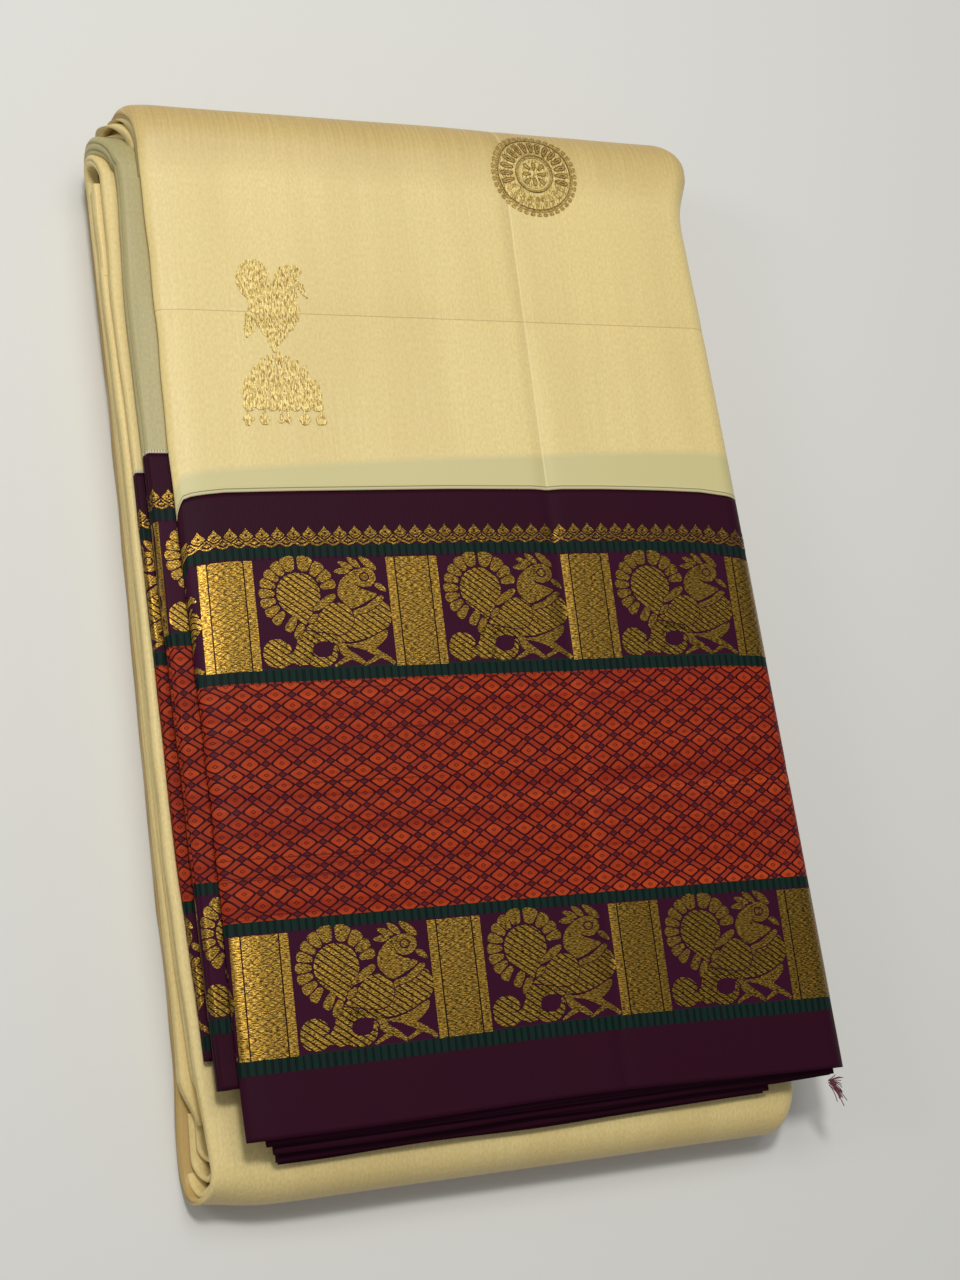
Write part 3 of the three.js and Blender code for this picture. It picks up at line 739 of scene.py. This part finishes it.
def creamMaterial(name, colours, top=True, loops=False, foldShade=False):
    # plain weave silk, hand-loomed: the eye sees a soft sheen, faint streaks along the warp and a cross grain
    material, node = newMaterial(name)
    u, v, place = clothPlace(node)
    warp = drawnOut(node, place, 0.9, 0.02, 3.0)
    weft = drawnOut(node, place, 0.03, 1.6, 3.0)
    wide = drawnOut(node, place, 0.035, 0.004)
    mottle = drawnOut(node, place, 1.1, 0.55)
    cloudy = node("TexNoise", {"Vector": place, "Scale": 0.02, "Detail": 2.0})
    tints = [
        (warp, "light"), (cloudy, "main"),
        (node("MapRange", mottle, 0.36, 0.68, 0, 0.42), "grain"),
        (node("MapRange", wide, 0.42, 0.6, 0, 0.22), "grain"),
    ]
    if foldShade:  # painted shade: darker and browner where the outer layer turns up round the end fold
        tints.append((node("MapRange", v, 436.0, 408.0, 0, 0.75), "turn"))
    if loops:  # white threads where the body is looped into the border
        wave = node("Math.PINGPONG", node("Math.DIVIDE", u, 1.1), 0.5)
        tints.append((node("Math.LESS_THAN", v, node("Math.MULTIPLY_ADD", wave, 3.0, 41.2)), "loop"))
    if top:
        slope = node("Math.MULTIPLY_ADD", u, -0.04, v)
        green = node("MapRange", slope, panelMarks["greenEnd"], panelMarks["greenFull"])
        # painted shade: the panel darkens and browns where it turns over the top fold, unevenly along the
        # warp
        turned = node("MapRange", v, panelMarks["turn"], panelMarks["turnFull"], 0, 0.72)
        uneven = node("MapRange", warp, 0.35, 0.6, 0.6)
        # painted shade: a dark line along the upper cross crease
        creaseShadeLine = node("Math.COMPARE", v, crease["upperY"], 0.22)
        # painted shade: a soft darker band left of the lengthwise crease
        creaseSideShade = node("MapRange", u, crease["x"] - 6, crease["x"] - 0.4, 0, 0.14)
        # painted highlight: a light line along the crease's ridge
        creaseRidgeHighlight = node("Math.COMPARE", u, crease["x"] + 0.3, 0.4)
        tints += [
            (green, "green"),
            (node("Math.MULTIPLY", turned, uneven), "turn"),
            (node("Math.MULTIPLY", creaseShadeLine, 0.42), "crease"),
            (node("Math.MULTIPLY", creaseSideShade, node("Math.LESS_THAN", u, crease["x"])), "crease"),
            (node("Math.MULTIPLY", creaseRidgeHighlight, 0.4), "light"),
            (node("Math.COMPARE", v, panelMarks["line"], 0.25), "line"),
            (node("Math.LESS_THAN", v, panelMarks["lip"]), "lip"),
        ]
    colour = layTints(node, fromHex(colours["deep"]), colours, tints)
    threads, picks = threadWaves(node, place, "X", 0.42, 0.6), threadWaves(node, place, "Y", 0.36, 0.6)
    height = node("Math.ADD", node("Math.ADD", threads, picks), weft)
    bump = node("Bump", {"Height": height, "Strength": 0.07, "Distance": 0.0002})
    finishSilk(node, {"Base Color": colour, "Normal": bump, "Roughness": 0.48, "Sheen Weight": 0.05,
                      "Anisotropic": 0.35})
    return material


# where each band of the border starts, in millimetres along the cloth from the selvedge to the seam
bandStarts = (
    (-210, "ground"), (-177.5, "green"),
    (border["secondBand"][0], "bandGround"), (border["secondBand"][1], "green"),
    (-123.5, "rust"), (-35.5, "green"),
    (border["firstBand"][0], "bandGround"), (border["firstBand"][1], "green"),
    (18.6, "ground"), (60, "ground"),
)
# the rust field's middle and half width, and its diamonds 12.4 by 8.7 millimetres
rustField = {"middle": -79.5, "half": 44.0, "wide": 12.42, "high": 8.65, "rounding": 6.0}


def borderMaterial(name, colours):
    # silk border woven in bands: maroon ground, ribbed green lines and a rust field with a diamond lattice
    material, node = newMaterial(name)
    u, v, place = clothPlace(node)
    low, high = bandStarts[0][0], bandStarts[-1][0]
    bands = node("ValToRGB", node("MapRange", v, low, high)).node
    bands.color_ramp.interpolation = "CONSTANT"
    ramp = bands.color_ramp.elements
    ramp[0].color = fromHex(colours["ground"])
    ramp.remove(ramp[1])
    for at, key in bandStarts[1:-1]:
        ramp.new((at - low) / (high - low)).color = fromHex(colours[key])
    fine = drawnOut(node, place, 1.2, 0.05, 3.0)
    cloudy = node("TexNoise", {"Vector": place, "Scale": 0.03, "Detail": 2.0})
    inField = node("Math.COMPARE", v, rustField["middle"], rustField["half"])

    # rust field: diamonds outlined twice, a mauve knot where the lines cross
    sway = node("TexNoise", {"Vector": place, "Scale": 0.06, "Detail": 2.0})
    pull = drawnOut(node, place, 0.012, 0.1)
    a = node("Math.DIVIDE", node("Math.MULTIPLY_ADD", sway, 1.6, u), rustField["wide"])
    b = node("Math.DIVIDE", node("Math.MULTIPLY_ADD", pull, 2.2, v), rustField["high"])
    s, t = slantingLines(node, a, b)
    rounding = rustField["rounding"]  # rounds the diamonds' corners a little
    far = node("Math.ADD", node("Math.POWER", s, rounding), node("Math.POWER", t, rounding))
    far = node("Math.POWER", far, 1 / rounding)
    near = node("Math.MINIMUM", s, t)
    outlines = (
        node("Math.COMPARE", far, 0.345, 0.05),
        node("Math.COMPARE", near, 0.36, 0.035),
        node("Math.MULTIPLY", node("Math.COMPARE", far, 0.07, 0.025), 0.7),
        node("MapRange", drawnOut(node, place, 0.006, 0.8), 0.62, 0.7, 0, 0.6),  # pulled threads
    )
    dark = outlines[0]
    for outline in outlines[1:]:
        dark = node("Math.MAXIMUM", dark, outline)
    # painted highlight: the rust field turns lighter and more orange near the lengthwise crease
    creaseHighlight = node("Math.ABSOLUTE", node("Math.SUBTRACT", u, crease["x"]))
    creaseHighlight = node("MapRange", creaseHighlight, 7.0, 0.0, 0, 0.9)
    glow = node("MapRange", drawnOut(node, place, 0.004, 0.16), 0.35, 0.7)
    rust = layTints(node, fromHex(colours["rust"]), colours, (
        (node("Math.MAXIMUM", glow, creaseHighlight), "orange"),
        (node("Math.MULTIPLY", node("Math.GREATER_THAN", far, 0.37), 0.6), "strip"),
        (node("Math.GREATER_THAN", near, 0.395), "mauve"),
        (dark, "lattice"),
    ))
    colour = node("Mix", {0: inField, 6: bands.outputs[0], 7: rust}, out=2, data_type="RGBA")

    # green lines: ribs across, about three millimetres apart
    rib = node("Math.DIVIDE", node("Math.MULTIPLY_ADD", fine, 1.6, u), 2.9)
    ribGap = node("MapRange", node("Math.PINGPONG", rib, 0.5), 0.24, 0.14)
    isGreen = 0.0
    for (start, key), (end, _) in zip(bandStarts, bandStarts[1:]):
        if key == "green":
            here = node("Math.COMPARE", v, (start + end) / 2, (end - start) / 2)
            isGreen = node("Math.MAXIMUM", isGreen, here)
    ribGap = node("Math.MULTIPLY", ribGap, node("Math.MULTIPLY", isGreen, 0.85))
    violet = node("Math.MULTIPLY", fine, node("Math.MULTIPLY", cloudy, 0.5))
    colour = layTints(node, colour, colours, ((ribGap, "ribGap"), (violet, "violet")))

    threads = threadWaves(node, place, "X", 0.42, 0.5)
    lines = node("Math.MAXIMUM", node("Math.MULTIPLY", dark, inField), ribGap)
    height = node("Math.MULTIPLY_ADD", lines, -1.4, node("Math.MULTIPLY", threads, 0.5))
    bump = node("Bump", {"Height": height, "Strength": 0.25, "Distance": 0.00025})
    finishSilk(node, {"Base Color": colour, "Normal": bump, "Roughness": 0.5, "Specular IOR Level": 0.06})
    return material


def zariMaterial(name, kind, colours, metallic=0.9, roughness=0.34):
    # gold thread woven over silk: each kind of binding leaves its own fine dark lines in the metal
    material, node = newMaterial(name)
    u, v, place = clothPlace(node)
    across, along = (1.9, 0.4) if kind == "lace" else (0.7, 2.8)
    fleck = node("MapRange", drawnOut(node, place, across, along, 3.0), 0.38, 0.66)
    if kind == "twill":  # slanting binding lines, two millimetres apart
        slant = node("Math.MULTIPLY_ADD", u, 0.62, node("Math.MULTIPLY", v, 0.79))
        dark = node("Math.PINGPONG", node("Math.DIVIDE", slant, 2.05), 0.5)
        dark = node("MapRange", dark, 0.14, 0.1)
    elif kind == "bar":  # edge bands, dark lines and a small diamond lattice between them
        x = node("Math.WRAP", node("Math.SUBTRACT", u, border["barLeft"]), border["pitch"], 0.0)
        fromMiddle = node("Math.ABSOLUTE", node("Math.SUBTRACT", x, border["barWidth"] / 2))
        s, t = slantingLines(node, node("Math.DIVIDE", x, 4.4), node("Math.DIVIDE", v, 3.0))
        lattice = node("Math.GREATER_THAN", node("Math.MAXIMUM", s, t), 0.43)
        lattice = node("Math.MULTIPLY", lattice, node("Math.LESS_THAN", fromMiddle, 6.7))
        dark = node("Math.COMPARE", fromMiddle, 7.0, 0.26)
        dark = node("Math.MAXIMUM", dark, node("Math.MULTIPLY", lattice, 0.55))
    elif kind == "lace":  # loose thread with the silk showing between
        dark = node("MapRange", drawnOut(node, place, 1.2, 0.5), 0.5, 0.56)
    else:  # close speckled binding
        s, t = slantingLines(node, node("Math.DIVIDE", u, 1.25), node("Math.DIVIDE", v, 1.25))
        dark = node("Math.LESS_THAN", node("Math.MINIMUM", s, t), 0.1)
        dark = node("Math.MULTIPLY", dark, 0.5)
    colour = layTints(node, fromHex(colours["deep"]), colours, ((fleck, "bright"), (dark, "gap")))
    height = node("Math.MULTIPLY_ADD", dark, -1.2, fleck)
    bump = node("Bump", {"Height": height, "Strength": 0.4, "Distance": 0.0001})
    finishSilk(node, {"Base Color": colour, "Metallic": metallic, "Roughness": roughness, "Normal": bump,
                      "Anisotropic": 0.3})
    return material


# turn and crease are painted shade colours, for cloth turning over a fold and along the creases; light serves
# the warp streaks and the crease ridge's painted highlight
creamColours = {
    "main": "EBD48F", "deep": "DCC47C", "light": "F6E4A8", "grain": "CBB272", "green": "CCC28A",
    "crease": "8E7240", "line": "857D55", "lip": "C6BA8C", "loop": "E8E0C4", "turn": "A8843F",
}
# a darker, greener copy of the cream colours: painted shade for the second fold beside the top panel
shadeColours = {**creamColours, "main": "B8AD7A", "deep": "A69B66", "light": "C6BC8A", "grain": "9A8F5E"}
borderColours = {
    "ground": "300C1B", "bandGround": "380D25", "green": "092B20", "ribGap": "031310", "rust": "992D0E",
    "orange": "BE471A", "strip": "8A2A16", "mauve": "5E1F22", "lattice": "37070C", "violet": "2C0B2A",
}
zariColours = {
    "gold": {"deep": "36270A", "bright": "C49A3E", "gap": "200E0C"},
    "pale": {"deep": "8C6A28", "bright": "E6C970", "gap": "7A5A28"},
    "brown": {"deep": "5E421A", "bright": "A07A36", "gap": "4C3416"},
    "loose": {"deep": "8C6C2C", "bright": "EDD27C", "gap": "E0CA86"},
}

creamSilk = creamMaterial("hand-loomed cream silk", creamColours)
innerSilk = creamMaterial("cream silk inner layers", creamColours, top=False)
outerSilk = creamMaterial("cream silk outer layer", creamColours, top=False, foldShade=True)
shadedSilk = creamMaterial("greenish cream silk fold in painted shade", shadeColours, top=False, loops=True)
sideSilk = creamMaterial("cream silk side fold", creamColours, top=False, loops=True)
borderSilk = borderMaterial("woven silk border", borderColours)
finishes = {
    "twill": zariMaterial("zari with slanted binding", "twill", zariColours["gold"]),
    "grain": zariMaterial("zari with speckled binding", "grain", zariColours["gold"]),
    "bar": zariMaterial("zari bar with diamond lattice", "bar", zariColours["gold"]),
    "ground": borderSilk,
    "pale": zariMaterial("pale zari on cream silk", "grain", zariColours["pale"], 0.35, 0.42),
    "brown": zariMaterial("brown zari outline and painted shade", "grain", zariColours["brown"], 0.4),
    "lace": zariMaterial("loose zari on cream silk", "lace", zariColours["loose"], 0.35, 0.45),
}


def threadMaterial():
    # loose silk threads, dyed maroon and rose, mixed by noise along each thread; the rose bits are dye and
    # also painted highlight where a thread catches the light
    material, node = newMaterial("dyed silk thread ends")
    spread = node("TexNoise", {"Vector": node("TexCoord", out=3), "Scale": 900.0, "Detail": 1.0})
    colour = node("Mix", {0: spread, 6: fromHex("3A0F1C"), 7: fromHex("93465C")}, out=2, data_type="RGBA")
    finishSilk(node, {"Base Color": colour, "Roughness": 0.5})
    return material


threadSilk = threadMaterial()

print("silk saree: materials ready")

# Woven figures

def drawPeacock():
    # a bird facing right in a cell 53.4 by 43.9, its tail a disc with petals round it
    shapes = [(teardrop(17, 30, 8.6, 18.6, 17.4), "twill", 0)]
    rays = np.array([15, 32, 51, 75, 104, 125, 143, 160, 177, 194, 211, 228])
    for angle, span in zip(rays, np.gradient(rays)):
        shapes.append((fanPetal(17, 30, 9.3, 15.6, angle, span), "grain", 0))
    for along in (5.0, 9.2):
        x, y = 9.5 + along * 0.72, 21.6 - along * 0.72
        shapes.append((petal(x, y, 6.6, 4.0, 229 + 2 * along, 0.25, 0.0, 0.55), "grain", 0))
    shapes += [
        # body, neck and head
        (smoothLoop([(39, 22), (45, 24.4), (50.8, 26.0), (53.1, 22.4), (53.2, 18.8), (51.2, 15.6), (47, 13),
                     (42, 11.2), (37, 10.2), (31.5, 10.6), (26.5, 11.4), (22, 12), (19.6, 14.8), (23.5, 18),
                     (30, 22)]), "twill", 0),
        (smoothLoop([(37.8, 23.6), (42.2, 25.2), (48.2, 28.6), (45.4, 30.2), (42.2, 31.4), (40.6, 32.6),
                     (40.9, 35.8), (41.6, 39.2), (38.2, 38.0), (34.6, 35.2), (32.8, 31.6), (33.0, 28.2),
                     (35.2, 25.4)]), "grain", 0),
        (disc(43.9, 35.9, 4.7, 26, 0.84), "grain", 0),
        (smoothLoop([(38.4, 22.6), (43.4, 24.4), (49.0, 28.2), (50.8, 27.0), (45.6, 22.6), (39.2, 20.8)]),
         "grain", 1),
        (ribbon([(38.0, 23.1), (43.0, 24.9), (48.8, 28.6)], (0.35, 0.35, 0.3)), "ground", 2),
        (ribbon([(38.8, 20.6), (45.4, 22.4), (51.4, 27.0)], (0.35, 0.35, 0.3)), "ground", 2),
        (ribbon([(40.2, 33.0), (41.6, 32.0), (44.2, 31.4)], (0.2, 0.6, 0.3)), "ground", 1),
        (disc(43.9, 36.1, 2.1, 20, 0.9), "ground", 1),
        (disc(43.9, 36.1, 1.5, 20, 0.9), "grain", 2),
        (smoothLoop([(47.8, 33.2), (49.8, 33.4), (51.6, 31.8), (52.2, 29.8), (50.2, 30.4), (48.4, 31.6)]),
         "grain", 0),
        # crest
        (petal(35.2, 38.7, 6.4, 2.6, 2, 0.1, 0.45), "grain", 0),
        (petal(36.8, 41.0, 6.6, 2.5, -24, 0.1, 0.45), "grain", 0),
        (petal(40.2, 42.0, 6.4, 2.7, -42, 0.1, 0.45), "grain", 0),
        (petal(45.8, 41.6, 8.6, 3.2, -40, 0.1, 0.4), "grain", 0),
        # wing and the two leaves behind it
        (teardrop(31.6, 19.6, 6.75, 17.4, 15.4), "ground", 1),
        (teardrop(31.6, 19.6, 6.4, 18.2, 15.8), "twill", 2),
        (petal(26.9, 26.2, 12.0, 4.5, 33, 0.35, 0.2), "ground", 1),
        (petal(26.9, 26.2, 11.3, 3.8, 33, 0.35, 0.2), "grain", 2),
        (petal(21.8, 19.9, 6.0, 3.4, 42, 0.2, 0.2), "ground", 3),
        (petal(21.8, 19.9, 5.3, 2.7, 42, 0.2, 0.2), "grain", 4),
        # tail scroll with its two curls
        (smoothLoop([(1.0, 5.8), (1.8, 9.6), (5.0, 12.2), (9.2, 11.8), (11.9, 9.2), (11.6, 7.0), (9.2, 5.9),
                     (12.4, 6.6), (14.2, 9.4), (15.2, 12.6), (17.6, 15.2), (20.6, 14.6), (23.4, 13.4),
                     (21.6, 10.6), (20.4, 7.4), (20.8, 4.8), (19.0, 2.2), (15.2, 1.5), (12.2, 2.6),
                     (8.4, 0.9), (4.0, 1.4), (1.8, 3.2)]), "twill", 0),
        (ribbon([(18.6, 5.0), (21.6, 2.9), (25.6, 2.7), (28.8, 4.8), (29.2, 8.0)], (4.4, 4.2, 3.6, 2.4, 0.8)),
         "twill", 0),
        (smoothLoop([(19, 9), (22.6, 10.4), (26.4, 10.8), (30.2, 9.6), (33, 10), (30, 13), (22, 14.2)]),
         "twill", 0),
        (disc(24.9, 7.3, 2.9), "ground", 1),
        (ribbon([(28.6, 10.4), (30.6, 8.2), (30.8, 5.0), (28.6, 2.2)], (0.4, 0.5, 0.5, 0.4)), "ground", 1),
        # thigh and legs
        (smoothLoop([(32.6, 9.2), (38, 9.6), (44, 11.4), (50.4, 14.4), (50.4, 11.6), (46.5, 8.0), (42.5, 6.2),
                     (38.5, 7.6)]), "grain", 1),
        (ribbon([(32.0, 10.0), (38, 10.2), (44.4, 12.0), (50.8, 15.2)], (0.35, 0.4, 0.4, 0.3)), "ground", 2),
        (ribbon([(41, 8.6), (45.4, 5.8), (50.2, 2.9), (52.6, 0.9)], (3.6, 2.6, 1.9, 1.4)), "grain", 0),
        (ribbon([(47, 4.4), (43.6, 2.4), (40.6, 0.9)], (2.0, 1.4, 0.9)), "grain", 0),
        (ribbon([(30.6, 10), (33.4, 6.2), (37.6, 3.6), (41.2, 0.9)], (4.4, 3.4, 2.4, 1.3)), "grain", 0),
        (ribbon([(35.6, 4.4), (31.8, 2.6), (28.6, 0.8)], (2.2, 1.6, 0.9)), "grain", 0),
    ]
    return drawFigure(shapes)


def drawBar(height):
    wide = border["barWidth"]
    return drawFigure([([(0, 0), (wide, 0), (wide, height), (0, height)], "bar", 0)])


def drawBud():
    # a pointed bud on crossing stems, a small diamond beside it and a waved line below
    body = [(0, 1.9), (1.1, 2.5), (2.2, 3.3), (2.65, 3.9), (2.2, 4.6), (1.35, 5.3), (0.6, 6.1), (0, 7.2)]
    stem = [(0, 0.9), (1.2, 1.5), (2.2, 2.3), (3.0, 3.1)]
    return drawFigure([
        (ribbon([(-3.1, -0.55), (-1.6, 0.0), (0, 0.85), (1.6, 0.0), (3.1, -0.55)],
                (0.7, 0.7, 0.9, 0.7, 0.7), 3), "grain", 0),
        (ribbon(stem, (0.9, 0.6, 0.55, 0.3), 3), "grain", 0),
        (ribbon([(-x, y) for x, y in stem], (0.9, 0.6, 0.55, 0.3), 3), "grain", 0),
        (np.array(body + [(-x, y) for x, y in body[-2:0:-1]]), "grain", 0),
        (disc(0, 4.25, 0.5, 8), "ground", 1),
        (ribbon([(-1.7, 3.6), (0, 2.75), (1.7, 3.6)], (0.2, 0.38, 0.2), 3), "ground", 1),
        (np.array([(1.7, 1.15), (3.1, 0.4), (4.5, 1.15), (3.1, 1.95)]), "grain", 0),
    ])


def ringPetal(reach, length, width, angle, root):
    # a petal that points outwards, its middle at a distance from the flower's
    angle, turned = float(angle), math.radians(angle)
    return petal(reach * math.cos(turned), reach * math.sin(turned), length, width, angle, root)


def drawMandala():
    # a round flower: beads, rings of petals and a small flower, with brown outlines over a pale ground; the
    # petal outlines are painted light in the lower half and painted shade in the upper
    shapes = [(ringPetal(18.9, 1.7, 2.5, 9 * k, 0.2), "pale", 0) for k in range(40)]
    rings = (
        (17.4, 1.1, "pale", 0), (12.6, 7.2, "lace", 0), (7.7, 1.0, "pale", 0),
        (16.6, 0.3, "brown", 1), (8.5, 0.3, "brown", 1),
    )
    for start in (0, 120, 240):
        t = np.radians(np.linspace(start, start + 119, 16))
        for radius, width, kind, layer in rings:
            arc = np.stack([radius * np.cos(t), radius * np.sin(t)], -1)
            shapes.append((ribbon(arc, (width, width), 2), kind, layer))
    petals = ((12.6, 6.0, 3.0, "brown", 2), (12.8, 5.0, 2.0, "pale", 3), (12.9, 2.6, 0.8, "brown", 4))
    for k in range(24):
        paintedLitHalf = math.sin(math.radians(15 * k)) < -0.35  # painted light: petal outlines in the lower half are laid in the lighter loose zari, the upper ones stay brown as painted shade
        for reach, length, width, kind, layer in petals:
            shade = "lace" if kind == "brown" and paintedLitHalf else kind
            shapes.append((ringPetal(reach, length, width, 15 * k, 0.35), shade, layer))
    shapes.append((disc(0, 0, 6.6), "lace", 0))
    for k in range(8):
        reach = 4.4 if k % 2 else 3.4
        shapes.append((ringPetal(reach, 4.0, 2.5, 45 * k, 0.5), "brown", 1))
        shapes.append((ringPetal(reach * 1.05, 3.0, 1.7, 45 * k, 0.5), "pale", 2))
    return drawFigure(shapes)


def ragged(outline, seed, size=0.45):
    # uneven edge of hand-laid thread
    draw = np.random.default_rng(seed)
    fine = []
    for a, b in zip(outline, np.roll(outline, -1, axis=0)):
        fine.append(np.linspace(a, b, max(2, int(np.linalg.norm(b - a) / 0.9) + 1))[:-1])
    fine = np.concatenate(fine)
    return fine + draw.uniform(-size, size, fine.shape)


def drawBirdAndBell():
    # a small bird over a bell-shaped ear ornament; x from the middle, y up from the lowest of its beads
    outlines = [
        smoothLoop([(-13.4, 56), (-14.0, 62), (-11.6, 67), (-7, 69.4), (-2.6, 68), (-0.4, 62), (-0.6, 55),
                    (-4, 50), (-9, 51)]),
        smoothLoop([(-9, 54), (-3, 56), (3, 58), (8.6, 54), (10.6, 47.6), (8.6, 42), (4.4, 37.6), (0.6, 33.6),
                    (-2.2, 31.4), (-3.4, 35), (-6.4, 40), (-9.6, 46)]),
        smoothLoop([(1.4, 55), (1.0, 61), (3.0, 65.6), (6.4, 67.4), (10.6, 67.6), (13.0, 65.4), (10.8, 62),
                    (9.8, 58.4), (10.2, 54)]),
        smoothLoop([(10.8, 61.4), (13.4, 58.4), (14.2, 54.0), (12.2, 55.6), (10.2, 58.6)]),
        smoothLoop([(-7, 50), (-11.6, 46), (-12.6, 39), (-12.2, 35.6), (-9.6, 38.0), (-7.4, 41), (-4, 44)]),
    ]
    for k in range(9):  # the bell, in upright ribs under a round dome
        x = (k - 4) * 3.55
        top = 11.0 + 18.0 * math.sqrt(1 - (x / 16.0) ** 2)
        outlines.append(ribbon([(x * 0.9, top), (x, top * 0.6 + 3), (x, 7.4)], (2.4, 3.2, 3.2)))
    outlines.append(ribbon([(-2.2, 31.5), (0, 29.5), (0.5, 27.5)], (1.6, 2.4, 3.4)))
    for x in (-13.8, -9.2, -4.6, 0, 4.6, 9.2, 13.8):
        outlines.append(disc(x, 7.6, 2.3, 12, 0.7))
    for x in (-14.6, -8.0, -1.2, 1.6, 8.0, 14.8):
        outlines.append(ribbon([(x, 6.4), (x, 3.6)], (0.9, 0.9)))
        outlines.append(disc(x, 2.4, 2.1 if abs(x) > 2 else 1.3, 12))
    return drawFigure([(ragged(outline, 70 + i), "lace", 0.25 * i) for i, outline in enumerate(outlines)])


peacock = drawPeacock()
bar = drawBar(43.9)
bud = drawBud()
birdAndBell = drawBirdAndBell()
mandala = drawMandala()


def borderPlaces():
    places = []
    for k in range(-2, 5):
        left = border["barLeft"] + border["pitch"] * k
        for low, high in (border["firstBand"], border["secondBand"]):
            places.append((bar, left, low))
            places.append((peacock, left + border["barWidth"], low))
    for k in range(-32, 32):
        places.append((bud, border["pitch"] / 12 * k, 19.6))
    return places


topBorderZari = layFigures("topBorderZari", topPath, borderPlaces(), finishes, lift=0.13)
foldZari = {}
for name, path in sidePaths.items():
    foldZari[name] = layFigures(name + "FoldZari", path, borderPlaces(), finishes)
panelPlaces = [(mandala, 41.6, 182.8), (birdAndBell, -79.4, 67.6)]
topBodyZari = layFigures("topBodyZari", topPath, panelPlaces, finishes, lift=0.22)

print("silk saree: figures laid")

# piece, the solid that it stands for, its slot, flat size in millimetres, material and the figures on it
dressing = (
    (topBorder, "top_border", "silk_border", (285, 241), borderSilk, topBorderZari),
    (topBody, "top_body", "silk_body", (290, 219), creamSilk, topBodyZari),
    (lowerWrap, "lower_wrap", "silk_body", (290, 787), outerSilk, None),
    (foldBorders["second"], "second_fold_border", "silk_border", (28, 238), borderSilk, foldZari["second"]),
    (foldBodies["second"], "second_fold_body", "silk_fold", (28, 192), shadedSilk, None),
    (foldBorders["third"], "third_fold_border", "silk_border", (26, 222), borderSilk, foldZari["third"]),
    (foldBodies["third"], "third_fold_body", "silk_body", (26, 205), sideSilk, None),
    (innerLayers, "inner_layers", "silk_body", (400, 395), innerSilk, None),
    (lowerInnerLayer, "lower_inner_layer", "silk_fold", (18, 66), innerSilk, None),
    (selvedgeLayers, "selvedge_layers", "silk_border", (1380, 40), borderSilk, None),
)
for piece, node, slot, flat, material, figures in dressing:
    piece.data.materials.clear()
    piece.data.materials.append(material)
    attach(piece, "root")
    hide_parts(node)
    more = [figures] if figures else []
    if piece is topBorder:
        more.append(threadTuft)
    if figures:
        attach(figures, "root")

threadTuft.data.materials.append(threadSilk)
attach(threadTuft, "root")
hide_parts("thread_tuft")

# Floor, light and camera

def makeStage():
    bpy.ops.object.select_all(action="DESELECT")
    bpy.ops.mesh.primitive_grid_add(x_subdivisions=4, y_subdivisions=4, size=12, location=(0, 0, -0.0004))
    floor = bpy.context.active_object
    floor.name = "floor"
    material, node = newMaterial("pale plain floor")
    finishSilk(node, {"Base Color": fromHex("DEDEDA"), "Roughness": 0.7, "Specular IOR Level": 0.2})
    floor.data.materials.append(material)


def makeLight(name, place, aim, size, power, colour):
    light = bpy.data.lights.new(name, "AREA")
    light.shape = "DISK"
    light.size = size
    light.energy = power
    light.color = colour
    lamp = addObject(name, light)
    lamp.location = place
    lamp.rotation_euler = (Vector(aim) - Vector(place)).to_track_quat("-Z", "Y").to_euler()


makeStage()
makeLight("large soft light", (0.0, 0.62, 1.6), (0, 0, 0), 0.9, 7.6, (1.0, 0.985, 0.955))
makeLight("low left light", (-1.3, 0.4, 0.9), (-0.1, 0, 0), 0.5, 2.7, (1.0, 0.985, 0.96))
makeLight("small overhead light", (-0.32, 0.41, 1.5), (-0.1, 0, 0), 0.22, 9.4, (1.0, 0.985, 0.95))
world = bpy.data.worlds.new("soft room light")
bpy.context.scene.world = world
world.use_nodes = True
world.node_tree.nodes["Background"].inputs["Color"].default_value = (0.97, 0.98, 1.0, 1)
world.node_tree.nodes["Background"].inputs["Strength"].default_value = 0.28

view = {
    "place": (-277.45, -187.76, 716.03),
    "right": (0.92964232, -0.12017946, 0.34831315),
    "down": (-0.02736181, -0.96521973, -0.26000424),
    "ahead": (0.3674459, 0.23218046, -0.90059744),
    "focal": 1900.0,  # in pixels of the 960 by 1280 frame
}
camera = bpy.data.cameras.new("camera")
camera.lens = 36.0 * view["focal"] / 1280
camera.clip_start = 0.01
eye = addObject("camera", camera)
axes = Matrix((Vector(view["right"]), -Vector(view["down"]), -Vector(view["ahead"]))).transposed()
eye.matrix_world = Matrix.Translation(Vector(view["place"]) * mm) @ axes.to_4x4()
bpy.context.scene.camera = eye
bpy.context.scene.view_settings.view_transform = "Standard"

print("silk saree: floor, light and camera ready")
